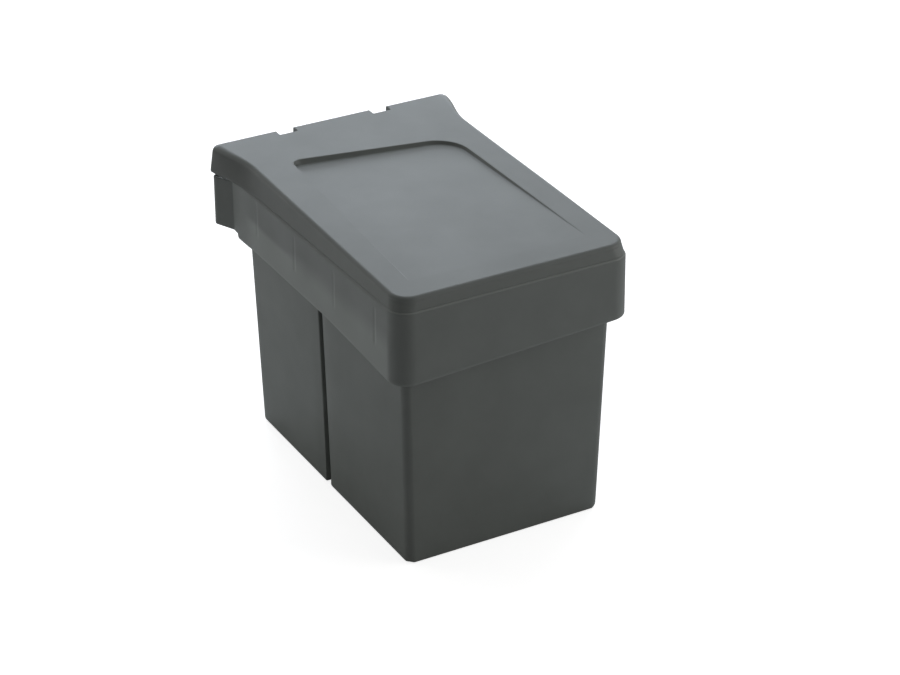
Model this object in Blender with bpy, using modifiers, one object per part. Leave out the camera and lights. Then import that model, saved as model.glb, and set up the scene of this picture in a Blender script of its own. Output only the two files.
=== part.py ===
"""Door-mounted trash bin: door bracket, hooked-on carrier frame, hinged lid and two lift-out bins.

Metres, +Z up. The origin is the middle of the bracket's back face, which lies on the door.
+X is across the bin, -Y points away from the door, towards the free front end.
Heights are measured from the underside of the bins, and level() turns one into a Z.
"""
import math

import bmesh
import bpy
from mathutils import Matrix, Vector

# overall places
WEB_HEIGHT = 0.2438             # underside of the web that carries the bins, above the bins' underside
FRONT_DEPTH = 0.3776            # door face to the front of the carrier frame
RUNNING_GAP = 0.0003            # clearance between pieces that touch or turn
CUT_OVERRUN = 0.0020            # how far a cutter passes the face that it cuts

# carrier frame; drops are measured down and rises up from the web's underside
FRAME_HALF_WIDTH = 0.1236
FRAME_CORNER_RADIUS = 0.0195
FRAME_WALL = 0.0025
FRAME_REAR_GAP = 0.0125         # frame's back face to the door
SKIRT_DROP = 0.0312
SKIRT_FLARE = 0.0004            # how much wider the skirt is at its foot, on each side
SKIRT_DIP_LENGTH = 0.1520       # front part of the skirt, where its foot isn't level
SKIRT_DIP_LEFT = 0.0089         # how much lower the foot is at the front left corner
SKIRT_LIFT_RIGHT = 0.0038       # how much higher it is at the front right corner
RIM_FRONT_RISE = 0.0350         # top of the frame, where the lid meets it
RIM_REAR_RISE = 0.0280
RIM_ROUNDING = 0.0040
RIM_FLANGE = 0.0042             # width of the frame's rounded top shoulder
RIM_FLANGE_DEPTH = 0.0025
EAR_REACH = 0.0119              # how far each rear ear stands out past the side wall
EAR_START_DEPTH = 0.0360        # where the side wall turns out towards the ear, from the door
SKIRT_END_DEPTH = 0.0445        # where the low part of the skirt ends
EAR_DROP = 0.0247
EAR_TOP_CLEARANCE = 0.0035      # ear's top below the rim's rear end
EAR_CORNER_RADIUS = 0.0048

# web that carries the bins
WEB_THICKNESS = 0.0025
WEB_CLEARANCE = 0.0015          # bin wall to the edge of the web's opening
WEB_CORNER_RADIUS = 0.0100

# ribs inside the skirt, seen outside as faint sink lines
RIB_COUNT = 4
RIB_FIRST_DEPTH = 0.0895        # the rib nearest the door
RIB_FRONT_MARGIN = 0.0430       # the last rib to the frame's front
RIB_THICKNESS = 0.0018
RIB_DROP = 0.0115
RIB_TOP_CLEARANCE = 0.0025      # rib's top below the rim's rear end
RIB_GUSSET_REACH = 0.0085
RIB_UPPER_REACH = 0.0012
FRONT_RIB_MARGIN = 0.0486       # outer front ribs to the side of the frame

# lid
LID_INSET = 0.0016              # lid's lower edge inside the frame's edge
LID_REAR_DEPTH = 0.0060
LID_REAR_CORNER_RADIUS = 0.0080
LID_WALL = 0.0022
LID_FRONT_RISE = 0.0123         # lid's top above the frame's top
LID_REAR_RISE = 0.0263
LID_EDGE_ROUNDING = 0.0040
LID_WALL_LEAN_SHARE = 0.19      # inward lean of the lid's walls per unit of height
FLARE_REACH = 0.0175            # how far each rear corner of the lid would stand out at its full swing
FLARE_START_DEPTH = 0.1000
FLARE_LENGTH = 0.1300
WAIST_EXTRA_LEAN_SHARE = 0.33   # how much more the wall leans in where the flare begins
WAIST_MIDDLE_DEPTH = 0.0520
WAIST_LENGTH = 0.0800
LID_REAR_WALL_HEIGHT = 0.0060   # how far the lid's rear wall hangs down from the top
NOTCH_WIDTH = 0.0200
NOTCH_DEPTH = 0.0086

# hinge
HINGE_SPACING = 0.1040          # between the two hinges, and between the two hooks below them
HINGE_DROP = 0.0098             # pin axis below the lid's top at the door
HINGE_PIN_RADIUS = 0.0020
HINGE_PIN_HEAD_RADIUS = 0.0032
HINGE_PIN_HEAD_LENGTH = 0.0012
LUG_HALF_WIDTH = 0.0080
LUG_HEAD_RADIUS = 0.0036
LUG_ROOT_DROP = 0.0100          # lug's root below the ear's top
LUG_ROOT_THICKNESS = 0.0060
LUG_NECK_DROP = 0.0100          # lug's neck below the pin
BOSS_THICKNESS = 0.0030
BOSS_RADIUS = 0.0037
BOSS_SIDE_GAP = 0.0022          # lug side to boss side

# shallow recess in the lid's top
RECESS_REAR_MARGIN = 0.0365         # lid's side to the recess at its rear edge
RECESS_FRONT_MARGIN = 0.0295        # the same at its front end
RECESS_REAR_LEFT_DEPTH = 0.0742     # from the door to the rear edge's left end
RECESS_REAR_RIGHT_DEPTH = 0.1042    # from the door to the rear edge's right end
RECESS_END_MARGIN = 0.0336          # recess's front end to the frame's front
RECESS_LEFT_CORNER_RADIUS = 0.0200
RECESS_RIGHT_CORNER_RADIUS = 0.0350
RECESS_SINK_LEFT = 0.0048
RECESS_SINK_RIGHT = 0.0030
RECESS_WALL_INSET = 0.0014
RECESS_FLOOR_THICKNESS = 0.0021

# bins
BIN_SIDE_INSET = 0.0192         # frame's side to a bin's side at its underside
BIN_FRONT_INSET = 0.0197        # frame's front to the front bin's lower front edge
BIN_REAR_INSET = 0.0291         # frame's back to the rear bin's lower rear edge
BIN_SEAM_GAP = 0.0060             # between the bins' walls
BIN_RIM_SEAM_GAP = 0.0025         # between their rims
BIN_SEAM_SHIFT = 0.0095           # seam nearer the door than halfway: the front bin is the longer one
BIN_DRAFT_SHARE = 0.0245        # outward lean of three of a bin's walls per unit of height
BIN_SEAM_DRAFT_SHARE = 0.0015   # the same for the wall beside the other bin
BIN_CORNER_RADIUS = 0.0082
BIN_SEAM_CORNER_RADIUS = 0.0050
BIN_FLOOR_ROUNDING = 0.0028
BIN_WALL = 0.0020
BIN_RIM_SIDE_GAP = 0.0025       # rim to the inside of the skirt
BIN_RIM_REACH = 0.0095          # rim past the bin's end wall
BIN_RIM_THICKNESS = 0.0022

# bails
BAIL_WIDTH = 0.0050
BAIL_THICKNESS = 0.0044
BAIL_GRIP_WIDTH = 0.0070
BAIL_CORNER_RADIUS = 0.0100
BAIL_PIVOT_RADIUS = 0.0019
BAIL_EAR_THICKNESS = 0.0022
BAIL_EAR_HALF_WIDTH = 0.0052
BAIL_EAR_HEIGHT = 0.0068        # above the bin's rim
BAIL_RIM_MARGIN = 0.0045        # grip's outer edge behind the rim's outer edge

# door bracket
BRACKET_SIDE_INSET = 0.0286     # frame's side to the bracket's end
BRACKET_HALF_HEIGHT = 0.0150
BRACKET_THICKNESS = 0.0020
BRACKET_BEND_RADIUS = 0.0030    # outside of its two bends
SCREW_HOLE_RADIUS = 0.0024
SCREW_END_MARGIN = 0.0150       # screw to the bracket's end
SCREW_SPACING_Z = 0.0140
HOOK_WIDTH = 0.0240
HOOK_SEAT_RISE = 0.0115         # top of the hook's seat above the web's underside
HOOK_TONGUE_HEIGHT = 0.0100
HOOK_FREE_LIFT = 0.0040         # travel of the frame past the hooks' tips
WINDOW_SIDE_CLEARANCE = 0.0015
WINDOW_WEB_CLEARANCE = 0.0008   # hook tongue to the edge of the web

MERGE_DISTANCE = 0.00001        # closes the turned pieces on their axis

# facets of round shapes
CORNER_FACETS = 6
FLARE_FACETS = 10
ROUND_FACETS = 16
EDGE_FACETS = 3

GREY = (0.170, 0.182, 0.180, 1.0)
GREY_BIN = (0.160, 0.170, 0.167, 1.0)
STEEL = (0.60, 0.61, 0.62, 1.0)

# heights above the bins' underside
SKIRT_FOOT_HEIGHT = WEB_HEIGHT - SKIRT_DROP
EAR_FOOT_HEIGHT = WEB_HEIGHT - EAR_DROP
RIM_FRONT_HEIGHT = WEB_HEIGHT + RIM_FRONT_RISE
RIM_REAR_HEIGHT = WEB_HEIGHT + RIM_REAR_RISE
EAR_TOP_HEIGHT = RIM_REAR_HEIGHT - EAR_TOP_CLEARANCE
RIB_FOOT_HEIGHT = WEB_HEIGHT - RIB_DROP
RIB_TOP_HEIGHT = RIM_REAR_HEIGHT - RIB_TOP_CLEARANCE
LID_FRONT_TOP_HEIGHT = RIM_FRONT_HEIGHT + LID_FRONT_RISE
LID_REAR_TOP_HEIGHT = RIM_REAR_HEIGHT + LID_REAR_RISE
HINGE_HEIGHT = LID_REAR_TOP_HEIGHT - HINGE_DROP
LUG_ROOT_HEIGHT = EAR_TOP_HEIGHT - LUG_ROOT_DROP
LUG_NECK_HEIGHT = HINGE_HEIGHT - LUG_NECK_DROP
HOOK_SEAT_HEIGHT = WEB_HEIGHT + HOOK_SEAT_RISE
MOUNT_HEIGHT = HOOK_SEAT_HEIGHT - BRACKET_HALF_HEIGHT

# widths, depths and spacings
EAR_HALF_WIDTH = FRAME_HALF_WIDTH + EAR_REACH
SKIRT_DIP_START_DEPTH = FRONT_DEPTH - SKIRT_DIP_LENGTH
RIB_PITCH = (FRONT_DEPTH - RIB_FRONT_MARGIN - RIB_FIRST_DEPTH) / (RIB_COUNT - 1)
FRONT_RIB_PITCH = FRAME_HALF_WIDTH - FRONT_RIB_MARGIN
LID_HALF_WIDTH = FRAME_HALF_WIDTH - LID_INSET
LID_CORNER_RADIUS = FRAME_CORNER_RADIUS - LID_INSET
HINGE_DEPTH = LID_REAR_DEPTH + LID_WALL / 2 + BOSS_RADIUS
RECESS_REAR_HALF_WIDTH = LID_HALF_WIDTH - RECESS_REAR_MARGIN
RECESS_FRONT_HALF_WIDTH = LID_HALF_WIDTH - RECESS_FRONT_MARGIN
RECESS_FRONT_DEPTH = FRONT_DEPTH - RECESS_END_MARGIN
BIN_HALF_WIDTH = FRAME_HALF_WIDTH - BIN_SIDE_INSET
BIN_FRONT_DEPTH = FRONT_DEPTH - BIN_FRONT_INSET
BIN_REAR_DEPTH = FRAME_REAR_GAP + BIN_REAR_INSET
BIN_RIM_HALF_WIDTH = FRAME_HALF_WIDTH - FRAME_WALL - BIN_RIM_SIDE_GAP
BRACKET_HALF_WIDTH = FRAME_HALF_WIDTH - BRACKET_SIDE_INSET
FRAME_LIFT = HOOK_TONGUE_HEIGHT + HOOK_FREE_LIFT


def level(height):
    """Z of a height measured from the bins' underside."""
    return height - MOUNT_HEIGHT


FRONT_Y = -FRONT_DEPTH
FRAME_REAR_Y = -FRAME_REAR_GAP
HINGE_Y = -HINGE_DEPTH
HINGE_Z = level(HINGE_HEIGHT)
WEB_Z = level(WEB_HEIGHT)
WEB_TOP_Z = WEB_Z + WEB_THICKNESS
BIN_RIM_Z = WEB_TOP_Z + RUNNING_GAP
BIN_RIM_TOP_Z = BIN_RIM_Z + BIN_RIM_THICKNESS
SEAM_Y = BIN_SEAM_SHIFT - (BIN_FRONT_DEPTH + BIN_REAR_DEPTH) / 2
BIN_TURNED_DEPTH = -BIN_REAR_DEPTH - 2 * SEAM_Y   # rear bin's end, before it is turned about the seam
BIN_RISE = BIN_RIM_Z + MOUNT_HEIGHT


def rim_z(y):
    """Z of the frame's top, which falls in a straight line towards the door."""
    share = -y / FRONT_DEPTH
    return level(RIM_REAR_HEIGHT + (RIM_FRONT_HEIGHT - RIM_REAR_HEIGHT) * share)


def lid_foot_z(y):
    """Z of the lid's lower edge, just above the frame's top."""
    return rim_z(y) + RUNNING_GAP


def lid_top_z(y):
    """Z of the lid's flat top, which rises in a straight line towards the door."""
    share = -y / FRONT_DEPTH
    return level(LID_REAR_TOP_HEIGHT + (LID_FRONT_TOP_HEIGHT - LID_REAR_TOP_HEIGHT) * share)


# scene and materials

def clear_scene():
    for thing in list(bpy.data.objects):
        bpy.data.objects.remove(thing, do_unlink=True)


def new_collection(name):
    group = bpy.data.collections.new(name)
    bpy.context.scene.collection.children.link(group)
    return group


def material(name, colour, roughness, metallic):
    mat = bpy.data.materials.new(name)
    mat.use_nodes = True
    shader = mat.node_tree.nodes["Principled BSDF"]
    shader.inputs["Base Color"].default_value = colour
    shader.inputs["Roughness"].default_value = roughness
    shader.inputs["Metallic"].default_value = metallic
    mat.diffuse_color = colour
    return mat


def object_from_bmesh(name, bm, group, mat=None):
    bmesh.ops.recalc_face_normals(bm, faces=bm.faces)
    mesh = bpy.data.meshes.new(name)
    bm.to_mesh(mesh)
    bm.free()
    obj = bpy.data.objects.new(name, mesh)
    group.objects.link(obj)
    if mat:
        mesh.materials.append(mat)
    return obj


def cutter(obj):
    obj.hide_render = True
    obj.display_type = "WIRE"
    return obj


def join_or_cut(body, tool, operation):
    step = body.modifiers.new(f"{operation.lower()} {tool.name}", "BOOLEAN")
    step.operation = operation
    step.object = tool
    step.solver = "EXACT"


def add(body, tool):
    join_or_cut(body, cutter(tool), "UNION")


def cut(body, tool):
    join_or_cut(body, cutter(tool), "DIFFERENCE")


# solids

def loft(name, rings, group, mat=None, closed=False):
    """Solid through rings of equally many points. It has end caps, or runs round into itself if closed."""
    bm = bmesh.new()
    loops = [[bm.verts.new(point) for point in ring] for ring in rings]
    pairs = list(zip(loops, loops[1:]))
    if closed:
        pairs.append((loops[-1], loops[0]))
    else:
        bm.faces.new(loops[0])
        bm.faces.new(reversed(loops[-1]))
    for low, high in pairs:
        count = len(low)
        for i in range(count):
            bm.faces.new((low[i], high[i], high[(i + 1) % count], low[(i + 1) % count]))
    bmesh.ops.triangulate(bm, faces=[face for face in bm.faces if len(face.verts) == 4])
    return object_from_bmesh(name, bm, group, mat)


def block(name, low, high, group):
    bm = bmesh.new()
    bmesh.ops.create_cube(bm, size=1)
    size = Vector(high) - Vector(low)
    middle = (Vector(high) + Vector(low)) / 2
    place = Matrix.Translation(middle) @ Matrix.Diagonal(size).to_4x4()
    bmesh.ops.transform(bm, matrix=place, verts=bm.verts)
    return object_from_bmesh(name, bm, group)


def rod(name, centre, radius, length, axis, group):
    """Cylinder with its middle at centre, along the X or the Y axis."""
    bm = bmesh.new()
    bmesh.ops.create_cone(bm, cap_ends=True, segments=ROUND_FACETS, radius1=radius, radius2=radius,
                          depth=length)
    turn = Matrix.Rotation(math.pi / 2, 4, "Y" if axis == "X" else "X")
    bmesh.ops.transform(bm, matrix=Matrix.Translation(centre) @ turn, verts=bm.verts)
    return object_from_bmesh(name, bm, group)


def plate_across(name, profile, x_low, x_high, group, mat=None):
    """Prism along X whose outline is a list of (y, z) points."""
    rings = [[(x, y, z) for y, z in profile] for x in (x_low, x_high)]
    return loft(name, rings, group, mat)


# outlines seen from above, as (x, y, outward x, outward y) points

def arc(centre_x, centre_y, radius, start, end, facets):
    points = []
    for i in range(facets + 1):
        angle = start + (end - start) * i / facets
        nx, ny = math.cos(angle), math.sin(angle)
        points.append((centre_x + radius * nx, centre_y + radius * ny, nx, ny))
    return points


def swing_out(half_width, reach, start_y, end_y, stop_y, facets):
    """Side wall that swings outwards by reach on half a cosine wave, and stops at stop_y."""
    points = []
    for i in range(facets + 1):
        y = start_y + (stop_y - start_y) * i / facets
        phase = math.pi * (y - start_y) / (end_y - start_y)
        x = half_width + reach * (1 - math.cos(phase)) / 2
        slope = reach * math.sin(phase) * math.pi / (2 * (end_y - start_y))
        size = math.hypot(1, slope)
        points.append((x, y, 1 / size, -slope / size))
    return points


def both_sides(right):
    """Whole outline from its right half, which runs from the front to the back."""
    left = [(-x, y, -nx, ny) for x, y, nx, ny in reversed(right)]
    return right + left


def rounded_box(half_width, front_y, rear_y, front_radius, rear_radius):
    quarter = math.pi / 2
    right = arc(half_width - front_radius, front_y + front_radius, front_radius, -quarter, 0, CORNER_FACETS)
    right += arc(half_width - rear_radius, rear_y - rear_radius, rear_radius, 0, quarter, CORNER_FACETS)
    return both_sides(right)


def ring(outline, inset, z_of, lean=0.0):
    """Outline moved inwards by inset and, except at the back, by lean as well, at the height z_of(y)."""
    points = []
    for x, y, nx, ny in outline:
        shift = inset + lean * (1 - max(0.0, ny))
        shifted_y = y - ny * shift
        points.append((x - nx * shift, shifted_y, z_of(shifted_y)))
    return points


def flat(z):
    return lambda y: z


# carrier frame

def frame_outline():
    radius = FRAME_CORNER_RADIUS
    right = arc(FRAME_HALF_WIDTH - radius, FRONT_Y + radius, radius, -math.pi / 2, 0, CORNER_FACETS)
    right.append((FRAME_HALF_WIDTH, -SKIRT_DIP_START_DEPTH, 1, 0))
    ear = EAR_CORNER_RADIUS
    turn = math.atan2(EAR_HALF_WIDTH - FRAME_HALF_WIDTH, EAR_START_DEPTH - FRAME_REAR_GAP - ear)
    right.append((FRAME_HALF_WIDTH, -EAR_START_DEPTH, math.cos(turn / 2), -math.sin(turn / 2)))
    right += arc(EAR_HALF_WIDTH - ear, FRAME_REAR_Y - ear, ear, -turn, math.pi / 2, CORNER_FACETS)
    return both_sides(right)


def skirt_foot(outline, inset):
    """Ring of the skirt's foot. It is level but for the front part, which dips at the left corner."""
    points = []
    for x, y, _ in ring(outline, inset, flat(0), -SKIRT_FLARE):
        forward = max(0.0, (-y - SKIRT_DIP_START_DEPTH) / SKIRT_DIP_LENGTH)
        leftward = (FRAME_HALF_WIDTH - x) / (2 * FRAME_HALF_WIDTH)
        dip = (SKIRT_DIP_LEFT + SKIRT_LIFT_RIGHT) * leftward - SKIRT_LIFT_RIGHT
        points.append((x, y, level(SKIRT_FOOT_HEIGHT) - dip * forward))
    return points


def web_opening():
    """Half width, front and rear of the hole that the bins hang in."""
    swell = BIN_DRAFT_SHARE * BIN_RISE + WEB_CLEARANCE
    return BIN_HALF_WIDTH + swell, -BIN_FRONT_DEPTH - swell, -BIN_REAR_DEPTH + swell


def build_frame(parts, tools, grey):
    outline = frame_outline()
    rings = [skirt_foot(outline, 0)]
    for i in range(EDGE_FACETS + 1):
        angle = math.pi / 2 * i / EDGE_FACETS
        inset = RIM_ROUNDING * (1 - math.cos(angle))
        drop = RIM_ROUNDING * (1 - math.sin(angle))
        rings.append(ring(outline, inset, lambda y, drop=drop: rim_z(y) - drop))
    rings.append(ring(outline, RIM_FLANGE, rim_z))
    rings.append(ring(outline, RIM_FLANGE, lambda y: rim_z(y) - RIM_FLANGE_DEPTH))
    chamfer_drop = RIM_FLANGE_DEPTH + RIM_FLANGE - FRAME_WALL
    rings.append(ring(outline, FRAME_WALL, lambda y: rim_z(y) - chamfer_drop))
    rings.append(skirt_foot(outline, FRAME_WALL))
    frame = loft("frame", rings, parts, grey, closed=True)

    # relief that lets the lid's rear edge swing, and the shorter skirt at the back
    past_side = EAR_HALF_WIDTH + SKIRT_FLARE + CUT_OVERRUN
    cut(frame, block("rear top relief", (-past_side, -EAR_START_DEPTH, level(EAR_TOP_HEIGHT)),
                     (past_side, CUT_OVERRUN, level(RIM_FRONT_HEIGHT)), tools))
    under_skirt = level(SKIRT_FOOT_HEIGHT) - CUT_OVERRUN
    cut(frame, block("rear foot relief", (-past_side, -SKIRT_END_DEPTH, under_skirt),
                     (past_side, CUT_OVERRUN, level(EAR_FOOT_HEIGHT)), tools))

    # web with the opening for the bins
    middle_of_wall = FRAME_WALL / 2
    web_rings = [ring(outline, middle_of_wall, flat(z)) for z in (WEB_Z, WEB_TOP_Z)]
    web = loft("web", web_rings, tools)
    half, front, rear = web_opening()
    hole_outline = rounded_box(half, front, rear, WEB_CORNER_RADIUS, WEB_CORNER_RADIUS)
    cut(web, loft("web opening", [ring(hole_outline, 0, flat(WEB_Z - CUT_OVERRUN)),
                                  ring(hole_outline, 0, flat(WEB_TOP_Z + CUT_OVERRUN))], tools))
    add(frame, web)
    build_ribs(frame, tools)
    for side, x in hinge_places():
        build_lug(frame, side, x, tools)
    for side in (-1, 1):
        half_window = HOOK_WIDTH / 2 + WINDOW_SIDE_CLEARANCE
        top = level(HOOK_SEAT_HEIGHT) + RUNNING_GAP
        bottom = top - BRACKET_THICKNESS - FRAME_LIFT - 2 * RUNNING_GAP
        x = side * HINGE_SPACING / 2
        cut(frame, block("hook window", (x - half_window, hook_tongue_y() - WINDOW_WEB_CLEARANCE, bottom),
                         (x + half_window, FRAME_REAR_Y + CUT_OVERRUN, top), tools))
    return frame


def rib_profile(wall_inner, sign):
    """(across, z) points of a rib: a gusset below the web and a low rib above it, buried in the wall."""
    buried = wall_inner + sign * SKIRT_FLARE
    gusset = wall_inner - sign * RIB_GUSSET_REACH
    upper = wall_inner - sign * RIB_UPPER_REACH
    foot_z, web_z, top_z = level(RIB_FOOT_HEIGHT), WEB_Z + WEB_THICKNESS / 2, level(RIB_TOP_HEIGHT)
    return [(buried, foot_z), (wall_inner, foot_z), (gusset, WEB_Z), (gusset, web_z),
            (upper, web_z), (upper, top_z), (buried, top_z)]


def build_ribs(frame, tools):
    wall = FRAME_HALF_WIDTH - FRAME_WALL
    for side in (-1, 1):
        for i in range(RIB_COUNT):
            y = -RIB_FIRST_DEPTH - i * RIB_PITCH
            profile = rib_profile(side * wall, side)
            ends = (y - RIB_THICKNESS / 2, y + RIB_THICKNESS / 2)
            rings = [[(x, end, z) for x, z in profile] for end in ends]
            add(frame, loft("side rib", rings, tools))
    for i in (-1, 0, 1):
        x = i * FRONT_RIB_PITCH
        profile = rib_profile(FRONT_Y + FRAME_WALL, -1)
        add(frame, plate_across("front rib", profile, x - RIB_THICKNESS / 2, x + RIB_THICKNESS / 2, tools))


def hinge_places():
    return [("left", -HINGE_SPACING / 2), ("right", HINGE_SPACING / 2)]


def build_lug(frame, side, x, tools):
    """Hinge lug: a foot on the frame's rear wall, a neck and a round head around the pin."""
    rear = FRAME_REAR_Y - FRAME_WALL / 2
    root_z = level(LUG_ROOT_HEIGHT)
    profile = [(rear, root_z), (HINGE_Y - LUG_HEAD_RADIUS, level(EAR_TOP_HEIGHT))]
    head = []
    for i in range(2 * CORNER_FACETS + 1):
        angle = math.pi - math.pi * i / (2 * CORNER_FACETS)
        y = HINGE_Y + LUG_HEAD_RADIUS * math.cos(angle)
        head.append((y, HINGE_Z + LUG_HEAD_RADIUS * math.sin(angle)))
    profile += head
    profile.append((HINGE_Y + LUG_HEAD_RADIUS, level(LUG_NECK_HEIGHT)))
    profile.append((rear, root_z + LUG_ROOT_THICKNESS))
    lug = plate_across(f"{side} hinge lug", profile, x - LUG_HALF_WIDTH, x + LUG_HALF_WIDTH, tools)
    add(frame, lug)
    bore_length = 2 * (LUG_HALF_WIDTH + CUT_OVERRUN)
    bore = HINGE_PIN_RADIUS + RUNNING_GAP
    cut(frame, rod(f"{side} lug bore", (x, HINGE_Y, HINGE_Z), bore, bore_length, "X", tools))


# lid

def lid_outline():
    front_y = FRONT_Y + LID_INSET
    right = arc(LID_HALF_WIDTH - LID_CORNER_RADIUS, front_y + LID_CORNER_RADIUS, LID_CORNER_RADIUS,
                -math.pi / 2, 0, CORNER_FACETS)
    start_y = -FLARE_START_DEPTH
    end_y = start_y + FLARE_LENGTH
    stop_y = -LID_REAR_DEPTH - LID_REAR_CORNER_RADIUS
    flare = swing_out(LID_HALF_WIDTH, FLARE_REACH, start_y, end_y, stop_y, FLARE_FACETS)
    right += flare
    radius = LID_REAR_CORNER_RADIUS
    right += arc(flare[-1][0] - radius, stop_y, radius, 0, math.pi / 2, CORNER_FACETS)[1:]
    return both_sides(right)


def lid_ring(outline, inset, drop):
    """Ring of the lid's wall at a drop below its top. The wall leans in as it rises, except at the back."""
    points = []
    for x, y, nx, ny in outline:
        rise = lid_top_z(y) - drop - lid_foot_z(y)
        from_waist = min(abs(y + WAIST_MIDDLE_DEPTH) / WAIST_LENGTH, 1 / 2)
        waist = math.cos(math.pi * from_waist) ** 2
        lean = LID_WALL_LEAN_SHARE * rise * (1 + WAIST_EXTRA_LEAN_SHARE * waist)
        shift = inset + lean * (1 - max(0.0, ny))
        shifted_y = y - ny * shift
        points.append((x - nx * shift, shifted_y, lid_top_z(shifted_y) - drop))
    return points


def recess_block(name, tools, grow, extra_sink, top_drop):
    """Block in the shape of the recess: deepest at its skewed rear edge and running out towards the front.

    It is wider by grow and deeper by extra_sink, and its top lies top_drop below the lid's top.
    """
    rear_span = RECESS_REAR_RIGHT_DEPTH - RECESS_REAR_LEFT_DEPTH
    skew = math.atan2(rear_span, 2 * RECESS_REAR_HALF_WIDTH)
    front_y = -RECESS_FRONT_DEPTH
    half = RECESS_REAR_HALF_WIDTH

    def rear_edge_y(x):
        return -RECESS_REAR_LEFT_DEPTH - rear_span * (x + half) / (2 * half)

    def side_chain(side, radius):
        centre_x = side * (half - radius)
        centre_y = rear_edge_y(centre_x) - radius / math.cos(skew)
        start = 0.0 if side > 0 else math.pi
        corner = arc(centre_x, centre_y, radius, start, math.pi / 2 - skew, CORNER_FACETS)
        return [(side * RECESS_FRONT_HALF_WIDTH, front_y, side, 0)] + corner

    def at_floor(x, y, nx, ny):
        across = (x + half) / (2 * half)
        run_out = (y - front_y) / (rear_edge_y(x) - front_y)
        sink = RECESS_SINK_LEFT + (RECESS_SINK_RIGHT - RECESS_SINK_LEFT) * across
        shift = RECESS_WALL_INSET * run_out - grow
        return x - nx * shift, y - ny * shift, lid_top_z(y) - sink * run_out - extra_sink

    right = side_chain(1, RECESS_RIGHT_CORNER_RADIUS)
    left = side_chain(-1, RECESS_LEFT_CORNER_RADIUS)
    bm = bmesh.new()
    low, high = [], []
    for points in (left, right):
        low.append([bm.verts.new(at_floor(*point)) for point in points])
        high.append([bm.verts.new((x + nx * grow, y + ny * grow, lid_top_z(y) - top_drop))
                     for x, y, nx, ny in points])
    last = len(left) - 1
    for layer in (low, high):
        for i in range(last):
            bm.faces.new((layer[0][i], layer[1][i], layer[1][i + 1], layer[0][i + 1]))
    for side in (0, 1):
        for i in range(last):
            bm.faces.new((low[side][i], low[side][i + 1], high[side][i + 1], high[side][i]))
    for i in (0, last):
        bm.faces.new((low[0][i], low[1][i], high[1][i], high[0][i]))
    bmesh.ops.triangulate(bm, faces=bm.faces)
    return object_from_bmesh(name, bm, tools)


def build_lid(parts, tools, grey):
    outline = lid_outline()
    inner_rounding = LID_EDGE_ROUNDING - LID_WALL
    rings = [lid_ring(outline, LID_EDGE_ROUNDING, LID_WALL)]
    rings.append(lid_ring(outline, LID_WALL, LID_WALL + inner_rounding))
    rings.append(ring(outline, LID_WALL, lid_foot_z))
    rings.append(ring(outline, 0, lid_foot_z))
    for i in range(EDGE_FACETS + 1):
        angle = math.pi / 2 * i / EDGE_FACETS
        inset = LID_EDGE_ROUNDING * (1 - math.cos(angle))
        rings.append(lid_ring(outline, inset, LID_EDGE_ROUNDING * (1 - math.sin(angle))))
    lid = loft("lid", rings, parts, grey)
    add(lid, recess_block("recess tray", tools, LID_WALL, RECESS_FLOOR_THICKNESS, LID_WALL / 2))
    cut(lid, recess_block("recess", tools, 0.0, 0.0, -CUT_OVERRUN))

    # the rear wall hangs down only a little, so that it clears the frame when the lid swings
    rear_y = -LID_REAR_DEPTH
    rear_foot = lid_top_z(rear_y) - LID_REAR_WALL_HEIGHT
    inside = max(x for x, y, nx, ny in outline) - LID_REAR_CORNER_RADIUS - LID_WALL
    cut(lid, block("rear wall relief", (-inside, rear_y - LID_REAR_CORNER_RADIUS, level(SKIRT_FOOT_HEIGHT)),
                   (inside, rear_y + CUT_OVERRUN, rear_foot), tools))
    for side, x in hinge_places():
        half = NOTCH_WIDTH / 2
        top = lid_top_z(rear_y) + CUT_OVERRUN
        cut(lid, block(f"{side} hinge notch", (x - half, rear_y - NOTCH_DEPTH, rear_foot - CUT_OVERRUN),
                       (x + half, rear_y + CUT_OVERRUN, top), tools))
        for end in (-1, 1):
            build_boss(lid, f"{side} hinge boss", x + end * (LUG_HALF_WIDTH + BOSS_SIDE_GAP), end, tools)
        bore_length = 2 * (LUG_HALF_WIDTH + BOSS_SIDE_GAP + BOSS_THICKNESS + CUT_OVERRUN)
        bore = HINGE_PIN_RADIUS + RUNNING_GAP
        cut(lid, rod(f"{side} lid bore", (x, HINGE_Y, HINGE_Z), bore, bore_length, "X", tools))
    return lid


def build_boss(lid, name, x, end, tools):
    """Cheek under the lid's rear edge that carries one end of a hinge pin."""
    top = lid_top_z(HINGE_Y) - LID_WALL / 2
    radius = BOSS_RADIUS
    profile = [(HINGE_Y + radius, top)]
    for i in range(2 * CORNER_FACETS + 1):
        angle = -math.pi * i / (2 * CORNER_FACETS)
        profile.append((HINGE_Y + radius * math.cos(angle), HINGE_Z + radius * math.sin(angle)))
    profile.append((HINGE_Y - radius, top))
    low, high = sorted((x, x + end * BOSS_THICKNESS))
    add(lid, plate_across(name, profile, low, high, tools))


def turned(name, profile, parts, mat):
    """Round piece along X from (x, radius) points that run towards -X, from its axis and back to it."""
    bm = bmesh.new()
    corners = [bm.verts.new((x, 0, radius)) for x, radius in profile]
    for first, second in zip(corners, corners[1:]):
        bm.edges.new((first, second))
    obj = object_from_bmesh(name, bm, parts, mat)
    screw = obj.modifiers.new("turn", "SCREW")
    screw.axis = "X"
    screw.steps = ROUND_FACETS
    screw.render_steps = ROUND_FACETS
    screw.use_merge_vertices = True
    screw.merge_threshold = MERGE_DISTANCE
    return obj


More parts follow.
